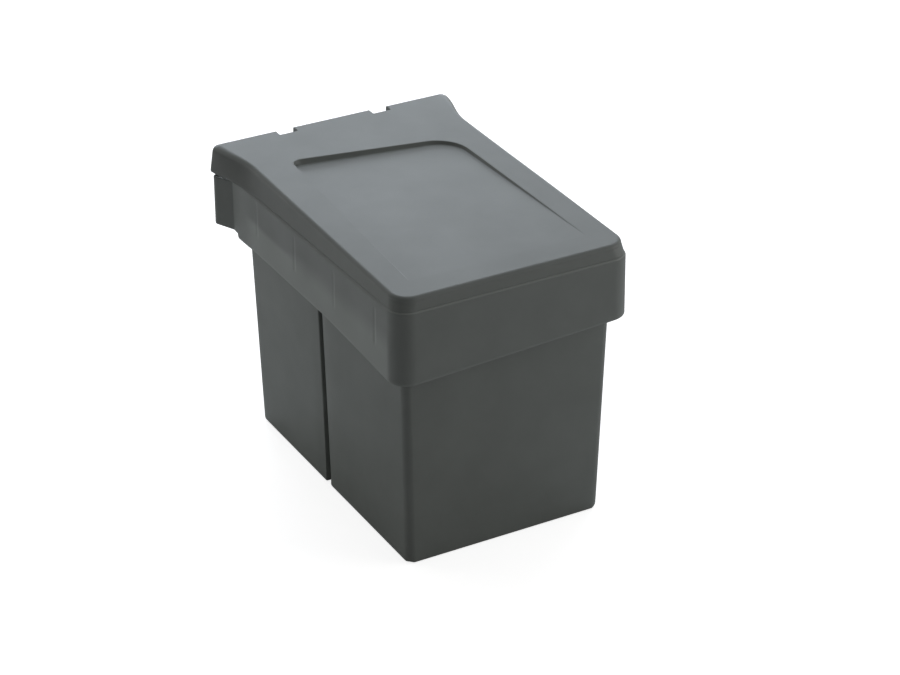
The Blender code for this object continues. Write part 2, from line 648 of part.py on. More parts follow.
def build_pins(parts, steel):
    """Headed hinge pins, with the heads towards the middle of the bin."""
    reach = LUG_HALF_WIDTH + BOSS_SIDE_GAP + BOSS_THICKNESS + RUNNING_GAP
    pins = []
    for side, x in hinge_places():
        outward = 1 if x > 0 else -1
        head_x = -outward * (reach + HINGE_PIN_HEAD_LENGTH)
        profile = [(outward * reach, 0), (outward * reach, HINGE_PIN_RADIUS),
                   (-outward * reach, HINGE_PIN_RADIUS), (-outward * reach, HINGE_PIN_HEAD_RADIUS),
                   (head_x, HINGE_PIN_HEAD_RADIUS), (head_x, 0)]
        if outward < 0:
            profile.reverse()
        pin = turned(f"hinge_pin_{side}", profile, parts, steel)
        pin.location = (x, HINGE_Y, HINGE_Z)
        pins.append(pin)
    return pins


# bins

def bin_outline(end_depth, rise, grow, rim_reach=0.0):
    """Outline at a rise above the underside, grown by grow. The bin's end is in front, the seam behind."""
    lean = BIN_DRAFT_SHARE * rise
    half = BIN_HALF_WIDTH + lean + grow
    front = -end_depth - lean - grow - rim_reach
    rear = SEAM_Y - BIN_SEAM_GAP / 2 + BIN_SEAM_DRAFT_SHARE * rise + min(grow, 0.0)
    radius = BIN_CORNER_RADIUS + min(grow, 0.0)
    if rim_reach:
        half = BIN_RIM_HALF_WIDTH
        rear = SEAM_Y - BIN_RIM_SEAM_GAP / 2
        radius = BIN_CORNER_RADIUS + rim_reach / 2
    return rounded_box(half, front, rear, radius, BIN_SEAM_CORNER_RADIUS + min(grow, 0.0))


def bin_pivot_y(end_depth):
    """Middle of the bin's mouth."""
    swell = BIN_DRAFT_SHARE * BIN_RISE
    return (-end_depth - swell + SEAM_Y) / 2


def bin_level(rise):
    return flat(rise - MOUNT_HEIGHT)


def build_bin(name, end_depth, parts, tools, grey):
    """Bin with its end in front, at end_depth, and the seam behind."""
    floor = BIN_WALL
    mouth = BIN_RISE + BIN_RIM_THICKNESS
    inner_rounding = BIN_FLOOR_ROUNDING - BIN_WALL
    rings = []
    for i in range(EDGE_FACETS + 1):
        angle = math.pi / 2 * i / EDGE_FACETS
        inset = inner_rounding * (1 - math.sin(angle))
        rise = floor + inner_rounding * (1 - math.cos(angle))
        rings.append(ring(bin_outline(end_depth, rise, -BIN_WALL - inset), 0, bin_level(rise)))
    rings.append(ring(bin_outline(end_depth, mouth, -BIN_WALL), 0, bin_level(mouth)))
    rings.append(ring(bin_outline(end_depth, mouth, 0.0, BIN_RIM_REACH), 0, bin_level(mouth)))
    rings.append(ring(bin_outline(end_depth, mouth, 0.0, BIN_RIM_REACH), 0, bin_level(BIN_RISE)))
    rings.append(ring(bin_outline(end_depth, BIN_RISE, 0.0), 0, bin_level(BIN_RISE)))
    for i in range(EDGE_FACETS, -1, -1):
        angle = math.pi / 2 * i / EDGE_FACETS
        inset = BIN_FLOOR_ROUNDING * (1 - math.sin(angle))
        rise = BIN_FLOOR_ROUNDING * (1 - math.cos(angle))
        rings.append(ring(bin_outline(end_depth, rise, -inset), 0, bin_level(rise)))
    body = loft(name, rings, parts, grey)

    # ears that carry the bail
    for side in (-1, 1):
        x_in = side * bail_ear_inner_x()
        x_out = x_in + side * BAIL_EAR_THICKNESS
        low, high = min(x_in, x_out), max(x_in, x_out)
        pivot = bin_pivot_y(end_depth)
        root = BIN_RIM_TOP_Z - BIN_RIM_THICKNESS / 2
        profile = [(pivot - BAIL_EAR_HALF_WIDTH, root), (pivot + BAIL_EAR_HALF_WIDTH, root)]
        crown = BIN_RIM_TOP_Z + BAIL_EAR_HEIGHT - BAIL_EAR_HALF_WIDTH
        for i in range(2 * CORNER_FACETS + 1):
            angle = math.pi * i / (2 * CORNER_FACETS)
            y = pivot + BAIL_EAR_HALF_WIDTH * math.cos(angle)
            profile.append((y, crown + BAIL_EAR_HALF_WIDTH * math.sin(angle)))
        add(body, plate_across("bail ear", profile, low, high, tools))
        hole_length = BAIL_EAR_THICKNESS + 2 * CUT_OVERRUN
        centre = ((x_in + x_out) / 2, pivot, bail_axis_z())
        bore = BAIL_PIVOT_RADIUS + RUNNING_GAP
        cut(body, rod("bail ear hole", centre, bore, hole_length, "X", tools))
    return body


def turn_round(obj):
    """Turns a finished piece, and the tools that shape it, half round about an upright line in the seam."""
    bpy.context.view_layer.update()
    for moved in [step.object for step in obj.modifiers] + [obj]:
        moved.matrix_world = half_turn(SEAM_Y) @ moved.matrix_world
    return obj


def half_turn(centre_y):
    there = Matrix.Translation((0, centre_y, 0))
    return there @ Matrix.Rotation(math.pi, 4, "Z") @ there.inverted()


def bail_axis_z():
    return BIN_RIM_TOP_Z + RUNNING_GAP + BAIL_THICKNESS / 2


def bail_ear_inner_x():
    """The ear stands on the rim, flush with the bin's outer wall."""
    return BIN_HALF_WIDTH + BIN_DRAFT_SHARE * BIN_RISE


def build_bail(name, end_depth, parts, tools, mat):
    """U of flat bar that lies on the bin's rim, with a stub at each end turned in through the ears."""
    x_in = bail_ear_inner_x() + BAIL_EAR_THICKNESS + 2 * RUNNING_GAP
    x_out = x_in + BAIL_WIDTH
    pivot = bin_pivot_y(end_depth)
    swell = BIN_DRAFT_SHARE * (BIN_RISE + BIN_RIM_THICKNESS)
    front = -end_depth - swell - BIN_RIM_REACH + BAIL_RIM_MARGIN
    quarter = math.pi / 2
    radius = BAIL_CORNER_RADIUS
    outer = arc(x_out - radius, front + radius, radius, -quarter, 0, CORNER_FACETS)
    inner_radius = radius - BAIL_WIDTH
    inner = arc(x_in - inner_radius, front + BAIL_GRIP_WIDTH + inner_radius, inner_radius, 0, -quarter,
                CORNER_FACETS)
    right = [(x, y) for x, y, nx, ny in outer] + [(x_out, pivot), (x_in, pivot)]
    right += [(x, y) for x, y, nx, ny in inner]
    bm = bmesh.new()
    low_z = bail_axis_z() - BAIL_THICKNESS / 2
    loops = {}
    for side in (-1, 1):
        for z in (low_z, low_z + BAIL_THICKNESS):
            loops[side, z] = [bm.verts.new((side * x, y, z)) for x, y in right]
    z_low, z_high = low_z, low_z + BAIL_THICKNESS
    count = len(right)
    half_count = CORNER_FACETS + 1
    for side in (-1, 1):
        low, high = loops[side, z_low], loops[side, z_high]
        for i in range(count - 1):
            bm.faces.new((low[i], low[i + 1], high[i + 1], high[i]))
        for layer in (low, high):
            for i in range(half_count):
                bm.faces.new((layer[i], layer[i + 1], layer[count - 2 - i], layer[count - 1 - i]))
    for z in (z_low, z_high):
        left, right_loop = loops[-1, z], loops[1, z]
        bm.faces.new((left[0], right_loop[0], right_loop[-1], left[-1]))
    for end in (0, -1):
        bm.faces.new((loops[-1, z_low][end], loops[1, z_low][end],
                      loops[1, z_high][end], loops[-1, z_high][end]))
    bail = object_from_bmesh(name, bm, parts, mat)
    stub_length = BAIL_EAR_THICKNESS + 2 * RUNNING_GAP + BAIL_WIDTH / 2
    for side in (-1, 1):
        stub_x = side * (x_in + BAIL_WIDTH / 2 - stub_length / 2)
        centre = (stub_x, pivot, bail_axis_z())
        add(bail, rod("bail stub", centre, BAIL_PIVOT_RADIUS, stub_length, "X", tools))
        end_x = side * (x_in + BAIL_WIDTH / 2)
        end_length = BAIL_WIDTH - 2 * RUNNING_GAP
        centre = (end_x, pivot, bail_axis_z())
        add(bail, rod("bail end", centre, BAIL_THICKNESS / 2, end_length, "X", tools))
    move_origin(bail, Vector((0, pivot, bail_axis_z())))
    return bail


def move_origin(obj, point):
    """Puts the object's origin at point without moving its mesh."""
    obj.data.transform(Matrix.Translation(-point))
    obj.location = point


# door bracket

def hook_tongue_y():
    """Front face of the hooks' tongues, which stand in front of the frame's rear wall."""
    return FRAME_REAR_Y - FRAME_WALL - RUNNING_GAP - BRACKET_THICKNESS


def bend(y, z, radius, start, end):
    """Points of a bend around (y, z), between two angles from the Y axis."""
    return [(y + radius * ny, z + radius * nz) for _, _, ny, nz in arc(y, z, radius, start, end, EDGE_FACETS)]


def build_bracket(parts, tools, steel):
    """Channel of folded sheet: its web lies on the door and its upper flange runs out into two hooks."""
    top = level(HOOK_SEAT_HEIGHT)
    flange_y = FRAME_REAR_Y + RUNNING_GAP
    outer = BRACKET_BEND_RADIUS
    inner = outer - BRACKET_THICKNESS
    bend_y, bend_z = -outer, top - outer
    quarter = math.pi / 2
    profile = [(flange_y, -top)] + bend(bend_y, -bend_z, outer, -quarter, 0)
    profile += bend(bend_y, bend_z, outer, 0, quarter)
    profile += [(flange_y, top), (flange_y, top - BRACKET_THICKNESS)]
    profile += bend(bend_y, bend_z, inner, quarter, 0) + bend(bend_y, -bend_z, inner, 0, -quarter)
    profile.append((flange_y, -top + BRACKET_THICKNESS))
    half = BRACKET_HALF_WIDTH
    bracket = plate_across("door_bracket", profile, -half, half, parts, steel)
    tongue_front = hook_tongue_y()
    slot_front = tongue_front + BRACKET_THICKNESS
    seat_low = top - BRACKET_THICKNESS
    tongue_top = top + HOOK_TONGUE_HEIGHT
    root_y = flange_y + BRACKET_THICKNESS
    plate_middle = -BRACKET_THICKNESS / 2
    for side in (-1, 1):
        x = side * HINGE_SPACING / 2
        profile = [(root_y, seat_low), (root_y, top), (slot_front, top), (slot_front, tongue_top),
                   (tongue_front, tongue_top), (tongue_front, seat_low)]
        add(bracket, plate_across("hook", profile, x - HOOK_WIDTH / 2, x + HOOK_WIDTH / 2, tools))
        for up in (-1, 1):
            centre = (side * (half - SCREW_END_MARGIN), plate_middle, up * SCREW_SPACING_Z / 2)
            hole_length = BRACKET_THICKNESS + 2 * CUT_OVERRUN
            cut(bracket, rod("screw hole", centre, SCREW_HOLE_RADIUS, hole_length, "Y", tools))
    return bracket


def smooth(obj):
    obj.data.shade_smooth()
    obj.data.set_sharp_from_angle(angle=math.radians(30))


def main():
    clear_scene()
    parts = new_collection("door_mounted_trash_bin")
    tools = new_collection("cutters")
    grey = material("grey_polypropylene", GREY, 0.42, 0.0)
    grey_lid = material("grey_polypropylene_lid", GREY, 0.40, 0.0)
    bin_front_grey = material("grey_bin_front", GREY_BIN, 0.45, 0.0)
    bin_rear_grey = material("grey_bin_rear", GREY_BIN, 0.45, 0.0)
    bail_front_grey = material("grey_bail_front", GREY, 0.45, 0.0)
    bail_rear_grey = material("grey_bail_rear", GREY, 0.45, 0.0)
    pin_steel = material("pin_steel", STEEL, 0.30, 1.0)
    bracket_steel = material("zinc_plated_steel", STEEL, 0.38, 1.0)

    pieces = [build_bracket(parts, tools, bracket_steel)]
    pieces.append(build_frame(parts, tools, grey))
    lid = build_lid(parts, tools, grey_lid)
    move_origin(lid, Vector((0, HINGE_Y, HINGE_Z)))
    pieces.append(lid)
    pieces += build_pins(parts, pin_steel)
    pieces.append(build_bin("front_bin", BIN_FRONT_DEPTH, parts, tools, bin_front_grey))
    pieces.append(turn_round(build_bin("rear_bin", BIN_TURNED_DEPTH, parts, tools, bin_rear_grey)))
    pieces.append(build_bail("front_bin_bail", BIN_FRONT_DEPTH, parts, tools, bail_front_grey))
    pieces.append(turn_round(build_bail("rear_bin_bail", BIN_TURNED_DEPTH, parts, tools, bail_rear_grey)))
    for piece in pieces:
        smooth(piece)


main()
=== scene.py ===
"""Fine surfaces, plastics, floor, light and camera for the door-mounted trash bin.

Shapes are worked out in millimetres, with heights measured from the bins' underside.
The Y axis points into the door, which is the plane y = 0.
"""
import math

import bpy
import numpy as np
from mathutils import Matrix


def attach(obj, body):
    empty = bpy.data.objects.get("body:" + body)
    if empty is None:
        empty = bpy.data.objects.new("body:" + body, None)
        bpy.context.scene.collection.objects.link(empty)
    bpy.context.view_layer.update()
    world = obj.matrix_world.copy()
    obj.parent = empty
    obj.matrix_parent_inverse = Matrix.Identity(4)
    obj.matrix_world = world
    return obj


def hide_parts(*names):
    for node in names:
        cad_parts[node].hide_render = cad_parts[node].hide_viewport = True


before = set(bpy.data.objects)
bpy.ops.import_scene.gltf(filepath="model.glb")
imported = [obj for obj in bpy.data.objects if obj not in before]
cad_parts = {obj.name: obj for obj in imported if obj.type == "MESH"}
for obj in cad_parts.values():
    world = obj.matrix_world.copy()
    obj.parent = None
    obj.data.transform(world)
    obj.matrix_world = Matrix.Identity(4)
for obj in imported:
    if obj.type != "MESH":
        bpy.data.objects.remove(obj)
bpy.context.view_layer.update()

MM = 0.001
MOUNT_HEIGHT = 240.3
DEPTH = 377.6
MIDDLE = (0.0, -195.0)

# carrier frame
FRAME_HALF = 123.6
FRAME_CORNER = 19.5
FRAME_BACK = -12.5
FRAME_WALL = 2.5
SKIRT_FOOT = 212.6
EAR_FOOT = 219.1
EAR_TOP = 269.4
EAR_START = -36.0
RIM_RADIUS = 3.0
SKIRT_DIP_LENGTH, SKIRT_DIP_SPAN, SKIRT_LIFT = 152, 12.7, 3.8
RIB_PLACES = -89.5 - (335.1 - 90.0) / 3 * np.arange(4)
RIB_FOOT, RIB_TOP, RIB_THICKNESS = 232.3, 269.3, 1.8
WEB_LOW, WEB_HIGH, WEB_INSET = 243.8, 246.3, 1.0

# lid
LID_WALL = 2.2
LID_FRONT = -376.0
LID_LAP = 0.55
LID_EDGE, LID_EDGE_FLARE, LID_EDGE_REAR = 4.2, 2.8, 1.2
REAR_WALL_DROP = 6.0
RECESS_HALF = 85.5
RECESS_FRONT_HALF = 92.5
RECESS_FRONT = -344.0
RECESS_REAR_LEFT = -74.2
RECESS_REAR_RIGHT = -104.2
RECESS_SINK_LEFT, RECESS_SINK_RIGHT = 4.8, 3.0
RECESS_LEFT_SHIFT = 7.5
RECESS_LEFT_RADIUS, RECESS_RIGHT_RADIUS, RECESS_FRONT_RADIUS = 9, 35, 4
HINGE_Y, HINGE_H = -10.8, 288.3
HINGE_PLACES = (-52.0, 52.0)
HINGE_BORE, BOSS_RADIUS = 2.3, 3.7
NOTCH_HALF, NOTCH_END, NOTCH_LOW = 10, -17.6, 289.8

# bins
BIN_HALF = 104.4
BIN_FRONT, BIN_BACK = -357.9, -41.6
SEAM_Y = -190.25
SEAM_GAP, RIM_GAP = 6.0, 2.5
BIN_DRAFT, SEAM_DRAFT = 0.0245, 0.0015
BIN_WALL = 2.0
BIN_CORNER = 8.2
SEAM_CORNER_FRONT_BIN, SEAM_CORNER_REAR_BIN = 0.6, 0.24
BIN_FOOT_RADIUS, BIN_FOOT_CORNER = 2.8, 1.8
RIM_LOW, RIM_HIGH = 246.6, 248.8
RIM_HALF, RIM_REACH, RIM_CORNER_GROWTH = 118.6, 9.5, 4.5
PIVOT_H = 251.3
STUB_RADIUS, STUB_BORE = 1.9, 2.2
BAIL_LOW, BAIL_HIGH = 249.1, 253.5


# shapes

def smoothstep(t):
    """Rises from 0 to 1 as t does, flat at both ends: 3t squared less 2t cubed."""
    t = np.clip(t, 0, 1)
    return t * t * (3 - 2 * t)


def lid_top(y):
    """Height of the lid's flat top, a straight line from 291.1 at the front to 298.1 at the door."""
    return 298.1 + 7.0 * y / DEPTH


def rim_top(y):
    """Height of the frame's top, a straight line from 278.8 at the front to 271.8 at the door."""
    return 271.8 - 7.0 * y / DEPTH


def arc(cx, cy, radius, start, end, count):
    """Points (x, y, outward x, outward y) on a circle, from one angle in degrees to another."""
    a = np.radians(np.linspace(start, end, count))
    return np.stack([cx + radius * np.cos(a), cy + radius * np.sin(a), np.cos(a), np.sin(a)], 1)


def straight(start, end, spacing):
    """Evenly spaced points between two places, ends left out, with the normal to the right of the way."""
    start, end = np.array(start, float), np.array(end, float)
    length = np.hypot(*(end - start))
    count = max(int(length / spacing), 1)
    t = (np.arange(count - 1) + 1.0)[:, None] / count
    places = start + (end - start) * t
    normal = np.array([end[1] - start[1], start[0] - end[0]]) / max(length, 1e-9)
    return np.hstack([places, np.tile(normal, (len(places), 1))])


def rounded_path(corners, spacing=3.0, step=5.0):
    """Closed outline through (x, y, radius) corners, anticlockwise, with an arc at each one.

    The arc touches both sides at radius times the tangent of half the turn from the corner.
    """
    places = np.array(corners, float)
    before = np.roll(places, 1, 0)[:, :2] - places[:, :2]
    after = np.roll(places, -1, 0)[:, :2] - places[:, :2]
    before /= np.hypot(*before.T)[:, None]
    after /= np.hypot(*after.T)[:, None]
    turn = np.arctan2(-before[:, 0] * after[:, 1] + before[:, 1] * after[:, 0], -(before * after).sum(1))
    back = places[:, 2] * np.tan(np.abs(turn) / 2)
    arcs = []
    for k in range(len(places)):
        begin = places[k, :2] + before[k] * back[k]
        side = math.copysign(1, turn[k])
        normal = np.array([-before[k][1], before[k][0]])
        centre = begin - normal * side * places[k, 2]
        start = math.degrees(math.atan2(*(side * normal)[::-1]))
        count = max(int(abs(math.degrees(turn[k])) / step), 2) + 1
        bend = arc(*centre, places[k, 2], start, start + math.degrees(turn[k]), count)
        bend[:, 2:] *= side
        arcs.append(bend)
    parts = []
    for k, bend in enumerate(arcs):
        parts += [bend, straight(bend[-1, :2], arcs[(k + 1) % len(arcs)][0, :2], spacing)]
    return np.vstack(parts)


def start_at_front(outline):
    """The same closed outline, begun at the point nearest the middle of its front."""
    first = np.argmin(np.abs(outline[:, 0]) + (outline[:, 1] - outline[:, 1].min()) * 100)
    return np.roll(outline, -first, 0)


def mirrored(half):
    """Whole outline from its right half, which runs from the middle of the front to that of the back."""
    left = half[-2:0:-1] * np.array([-1, 1, -1, 1])
    return np.vstack([half, left])


def bearing(outline, centre):
    """Angle of each point about a centre, from 0 at the front, growing anticlockwise."""
    return np.arctan2(outline[:, 0] - centre[0], centre[1] - outline[:, 1]) % (2 * np.pi)


def matched(outline, angles, centre):
    """Points of another outline at the same bearings, by interpolation of its distance and normals."""
    own = bearing(outline, centre)
    away = np.hypot(outline[:, 0] - centre[0], outline[:, 1] - centre[1])
    reach = np.interp(angles, own, away, period=2 * np.pi)
    nx = np.interp(angles, own, outline[:, 2], period=2 * np.pi)
    ny = np.interp(angles, own, outline[:, 3], period=2 * np.pi)
    size = np.hypot(nx, ny)
    x = centre[0] + reach * np.sin(angles)
    y = centre[1] - reach * np.cos(angles)
    return np.stack([x, y, nx / size, ny / size], 1)


def moved_in(outline, inset, height):
    """Ring of (x, y, height) points at a distance inside the outline. Both may vary along it."""
    x = outline[:, 0] - outline[:, 2] * inset
    y = outline[:, 1] - outline[:, 3] * inset
    return np.stack([x, y, np.broadcast_to(height, x.shape)], 1)


def skin(rings, loop=False):
    """Vertices and faces of a surface through rings of equally many points.

    Quads join each ring to the next. The ends get a cap each, or meet each other in a loop.
    """
    rings = np.asarray(rings, float)
    count, around = rings.shape[:2]
    k, i = np.meshgrid(np.arange(count if loop else count - 1), np.arange(around), indexing="ij")
    j, m = (i + 1) % around, (k + 1) % count
    quads = np.stack([k * around + i, k * around + j, m * around + j, m * around + i], -1).reshape(-1, 4)
    places = rings.reshape(-1, 3)
    a, b, c, d = (places[quads[:, n]] for n in range(4))
    volume = (np.cross(b, c) * a).sum() + (np.cross(c, d) * a).sum()
    faces = quads.tolist()
    if not loop:
        first, last = places[:around], places[-around:]
        last_cap = list(range(len(places) - around, len(places)))
        for cap, ring, flip in ((list(range(around)), first, True), (last_cap, last, False)):
            middle = ring.mean(0)
            fan = (np.cross(np.roll(ring, -1, 0), middle) * ring).sum()
            volume += -fan if flip else fan
            faces.append(cap[::-1] if flip else cap)
    if volume < 0:
        faces = [face[::-1] for face in faces]
    return places, faces


def piece(name, parts, body, nodes, finish, crease=32):
    """One object from several closed skins, smooth but for edges sharper than crease degrees."""
    places, faces = [], []
    for own_places, own_faces in parts:
        start = sum(len(p) for p in places)
        places.append(own_places)
        faces += [[v + start for v in face] for face in own_faces]
    spots = (np.vstack(places) - np.array([0, 0, MOUNT_HEIGHT])) * MM
    mesh = bpy.data.meshes.new(name)
    mesh.from_pydata(spots.tolist(), [], faces)
    mesh.shade_smooth()
    mesh.set_sharp_from_angle(angle=math.radians(crease))
    mesh.materials.append(finish)
    obj = bpy.data.objects.new(name, mesh)
    bpy.context.scene.collection.objects.link(obj)
    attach(obj, body)
    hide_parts(*nodes)
    return obj


def store_painted_light(obj, share):
    """Stores painted light at each vertex for the finish to read: -1 for a darker grey, 1 for a lighter one.
    """
    spots = np.empty(len(obj.data.vertices) * 3, np.float32)
    obj.data.vertices.foreach_get("co", spots)
    x, y, height = (spots.reshape(-1, 3) / MM).T
    painted_light_layer = obj.data.attributes.new("painted_light_and_gloss", "FLOAT", "POINT")
    painted_light_layer.data.foreach_set("value", np.clip(share(x, y, height + MOUNT_HEIGHT), -1, 1).astype(np.float32))


def across(rings):
    """Turns rings drawn as (along y, along height, along x) into (x, y, height)."""
    rings = np.asarray(rings, float)
    return rings[..., [2, 0, 1]]


def slab(outline, low, high, edge):
    """Plate between two heights with rounded edges: quarter circles of radius edge above and below."""
    a = np.radians([0, 30, 60, 90])
    rings = [moved_in(outline, edge * (1 - math.sin(t)), low + edge * (1 - math.cos(t))) for t in a]
    rings += [moved_in(outline, edge * (1 - math.sin(t)), high - edge * (1 - math.cos(t))) for t in a[::-1]]
    return rings


def pierced_slab(outline, hole, low, high, edge):
    """Plate with a hole: down the outside, across, up the hole and back, both edges eased by chamfers."""
    return [moved_in(outline, edge, low), moved_in(outline, 0, low + edge),
            moved_in(outline, 0, high - edge), moved_in(outline, edge, high),
            moved_in(hole, -edge, high), moved_in(hole, 0, high - edge),
            moved_in(hole, 0, low + edge), moved_in(hole, -edge, low)]


def cut_through(obj, boxes):
    """Cuts boxes, given as (low corner, high corner, radius of the upright edges), out of a piece."""
    for low, high, radius in boxes:
        corners = [(high[0], low[1], radius), (high[0], high[1], radius),
                   (low[0], high[1], radius), (low[0], low[1], radius)]
        places, faces = skin([moved_in(rounded_path(corners, 50, 15), 0, h) for h in (low[2], high[2])])
        mesh = bpy.data.meshes.new("cut")
        mesh.from_pydata(((places - np.array([0, 0, MOUNT_HEIGHT])) * MM).tolist(), [], faces)
        tool = bpy.data.objects.new("cut", mesh)
        bpy.context.scene.collection.objects.link(tool)
        step = obj.modifiers.new("cut", "BOOLEAN")
        step.operation = "DIFFERENCE"
        step.solver = "EXACT"
        step.object = tool
        bpy.context.view_layer.update()
        seen = obj.evaluated_get(bpy.context.evaluated_depsgraph_get())
        result = bpy.data.meshes.new_from_object(seen)
        obj.modifiers.clear()
        obj.data = result
        bpy.data.objects.remove(tool, do_unlink=True)


# lid

def lid_outline(front, corner, side, taper, swing, rear, rear_corner):
    """Closed outline of the lid at one level, always of equally many points.

    The side is a straight line, side at the door and wider by taper times the distance from it. A cosine
    swing, given as (start, length, reach), is added to it. The corners are arcs that start where it ends.
    """
    start, length, reach = swing

    def side_at(y):
        phase = np.pi * np.clip((y - start) / length, 0, 1)
        slope = -taper + reach * np.sin(phase) * np.pi / (2 * length)
        return side - taper * y + reach * (1 - np.cos(phase)) / 2, slope

    turn = math.atan(side_at(-15.0)[1])
    stop = rear - rear_corner * (1 + math.sin(turn))
    y = np.concatenate([np.linspace(front + corner, -110, 84)[1:], np.linspace(-110, stop, 56)[1:]])
    x, slope = side_at(y)
    size = np.hypot(1, slope)
    begin = side_at(front + corner)[0] - corner
    cx, cy = x[-1] - rear_corner * math.cos(turn), stop + rear_corner * math.sin(turn)
    corner_end = cx - 1.5
    half = np.vstack([[[0, front, 0, -1]], straight((0, front), (begin, front), begin / 36.5),
                      arc(begin, front + corner, corner, -90, 0, 29),
                      np.stack([x, y, 1 / size, -slope / size], 1)[:-1],
                      arc(cx, cy, rear_corner, -math.degrees(turn), 90, 23),
                      straight((cx, rear), (corner_end, rear), 0.24),
                      straight((corner_end, rear), (0, rear), corner_end / 60.5), [[0, rear, 0, 1]]])
    return mirrored(half)


def lid_levels():
    """Outlines at the lid's foot, at the top of its wall, and where the flat top begins."""
    foot = lid_outline(LID_FRONT, 17.9, 122.0, 0.0, (-100, 130, 16.4), -6.0, 4.2)
    shoulder = lid_outline(LID_FRONT + 2.3, 19.5, 117.4, 0.0070, (-73, 70, 14.6), -6.0, 4.0)
    brow = lid_outline(LID_FRONT + 6.4, 15.4, 113.3, 0.0070, (-73, 70, 9.2), -9.0, 5.0)
    for level in (shoulder, brow):
        level[:, 0] *= 1 + 0.008 * smoothstep((-level[:, 1] - 90) / 180) * (level[:, 0] > 0)
    return foot, shoulder, brow


def recess_outline():
    """Skewed edge of the recess, with unlike corner radii. The rear left corner is moved in."""
    corners = [(RECESS_FRONT_HALF, RECESS_FRONT, RECESS_FRONT_RADIUS),
               (RECESS_HALF, RECESS_REAR_RIGHT, RECESS_RIGHT_RADIUS),
               (RECESS_LEFT_SHIFT - RECESS_HALF, RECESS_REAR_LEFT, RECESS_LEFT_RADIUS),
               (-RECESS_FRONT_HALF, RECESS_FRONT, RECESS_FRONT_RADIUS)]
    return start_at_front(rounded_path(corners))


def recess_depth(x, y):
    """Depth of the recess, which falls in a straight line from its rear edge to nothing at the front."""
    share = np.clip((x + RECESS_HALF) / (2 * RECESS_HALF), 0, 1)
    rear = RECESS_REAR_LEFT + (RECESS_REAR_RIGHT - RECESS_REAR_LEFT) * share
    sink = RECESS_SINK_LEFT + (RECESS_SINK_RIGHT - RECESS_SINK_LEFT) * share
    return sink * np.clip((y - RECESS_FRONT) / (rear - RECESS_FRONT), 0, 1)


def lid_side(thickness):
    """Rings of the lid from its lower edge to the middle of its top, set in by a thickness.

    The wall is ruled between the foot's outline and the top's. A quarter ellipse, widest where the rear
    corners flare, joins it to the top. The rings then pass over to the edge of the recess, lie close
    together beside it, go down its wall and on to its middle. The wall is steepest along the left edge.
    """
    low, high, brow = lid_levels()
    x, y = low[:, 0], low[:, 1]
    flare = smoothstep((y + 75) / 55) * smoothstep(np.abs(low[:, 2]) / 0.8)
    radius = LID_EDGE + LID_EDGE_FLARE * flare - LID_EDGE_REAR * smoothstep(low[:, 3] / 0.8)
    at_back = smoothstep(low[:, 0].max() - 9.2 - np.abs(x)) * (y > -7)
    level = rim_top(y) + 0.3
    hang = 1.4 * smoothstep((y + 34) / 3) * (1 - at_back)
    lap = LID_LAP * (1 - at_back) * (thickness == 0)
    foot = level + (lid_top(y) - REAR_WALL_DROP - level) * at_back - lap - hang
    shoulder = lid_top(y) - radius

    def at(height, inset):
        """Ring on the wall at a height. The wall is ruled between the two outlines by height."""
        share = ((height - level) / (shoulder - level))[:, None]
        return moved_in(low * (1 - share) + high * share, inset, height)

    if thickness == 0:
        heel = 0.3 + 2.6 * flare
        rings = [at(foot + lap, LID_WALL + 0.8 * flare), at(foot + 0.15 * (1 - flare) * (1 - at_back), heel)]
        for a in np.radians((60, 35, 12)):
            rings.append(at(foot + heel * (1 - math.sin(a)), heel * (1 - math.cos(a))))
        foot = foot + heel
    else:
        rings = [at(foot, thickness)]
    for t in np.linspace(0, 1, 10)[1:]:
        rings.append(at(foot + (shoulder - foot) * t, thickness))
    for a in np.radians(np.linspace(0, 90, 11))[1:]:
        edge = moved_in(high * math.cos(a) + brow * (1 - math.cos(a)), thickness * math.cos(a), 0)
        edge[:, 2] = lid_top(edge[:, 1]) - radius * (1 - math.sin(a)) - thickness * math.sin(a)
        rings.append(edge)
    centre = np.array(MIDDLE)
    rim = rings[-1]
    angles = bearing(rim, centre)
    edge = recess_outline()
    hidden = smoothstep((-edge[:, 2] - 0.3) / 0.5)
    spread = 0.9 - 0.6 * hidden + 0.45 * (1 - hidden) * recess_depth(edge[:, 0], edge[:, 1])

    def recess_ring(t):
        shifted = edge.copy()
        shifted[:, :2] -= edge[:, 2:] * (-0.6 + (spread + 0.6) * t)[:, None]
        return matched(shifted, angles, centre)

    lip = moved_in(recess_ring(0), 0, 0)
    for t in (0.02, 0.3, 0.6, 0.85, 0.97, 0.992, 1.0):
        between = rim + (lip - rim) * t
        between[:, 2] = lid_top(between[:, 1]) - thickness
        rings.append(between)
    for t in np.linspace(0, 1, 13)[1:]:
        wall = moved_in(recess_ring(t), 0, 0)
        wall[:, 2] = lid_top(wall[:, 1]) - thickness - recess_depth(wall[:, 0], wall[:, 1]) * recess_step(t)
        rings.append(wall)
    floor = rings[-1]
    for t in (0.003, 0.015, 0.08, 0.3, 0.6, 0.9, 0.98):
        inner = floor.copy()
        inner[:, :2] += (centre - floor[:, :2]) * t
        inner[:, 2] = lid_top(inner[:, 1]) - thickness - recess_depth(inner[:, 0], inner[:, 1])
        rings.append(inner)
    return rings


def recess_step(t):
    """Profile of the recess wall: a short round brink, a steep straight wall and a short round foot."""
    return np.interp(t, [0, 0.12, 0.24, 0.8, 0.9, 1.0], [0, 0.02, 0.1, 0.9, 0.98, 1.0])


def lid_painted_shade(x, y, height):
    """Painted shade: side walls darker than the top, most of all near the door."""
    wall = smoothstep((lid_top(y) - 2.2 - height) / 2.5) * smoothstep((np.abs(x) - 106) / 8)
    wall *= smoothstep((y + 372) / 14)
    return -wall * (0.10 + 0.85 * smoothstep((y + 300) / 280))


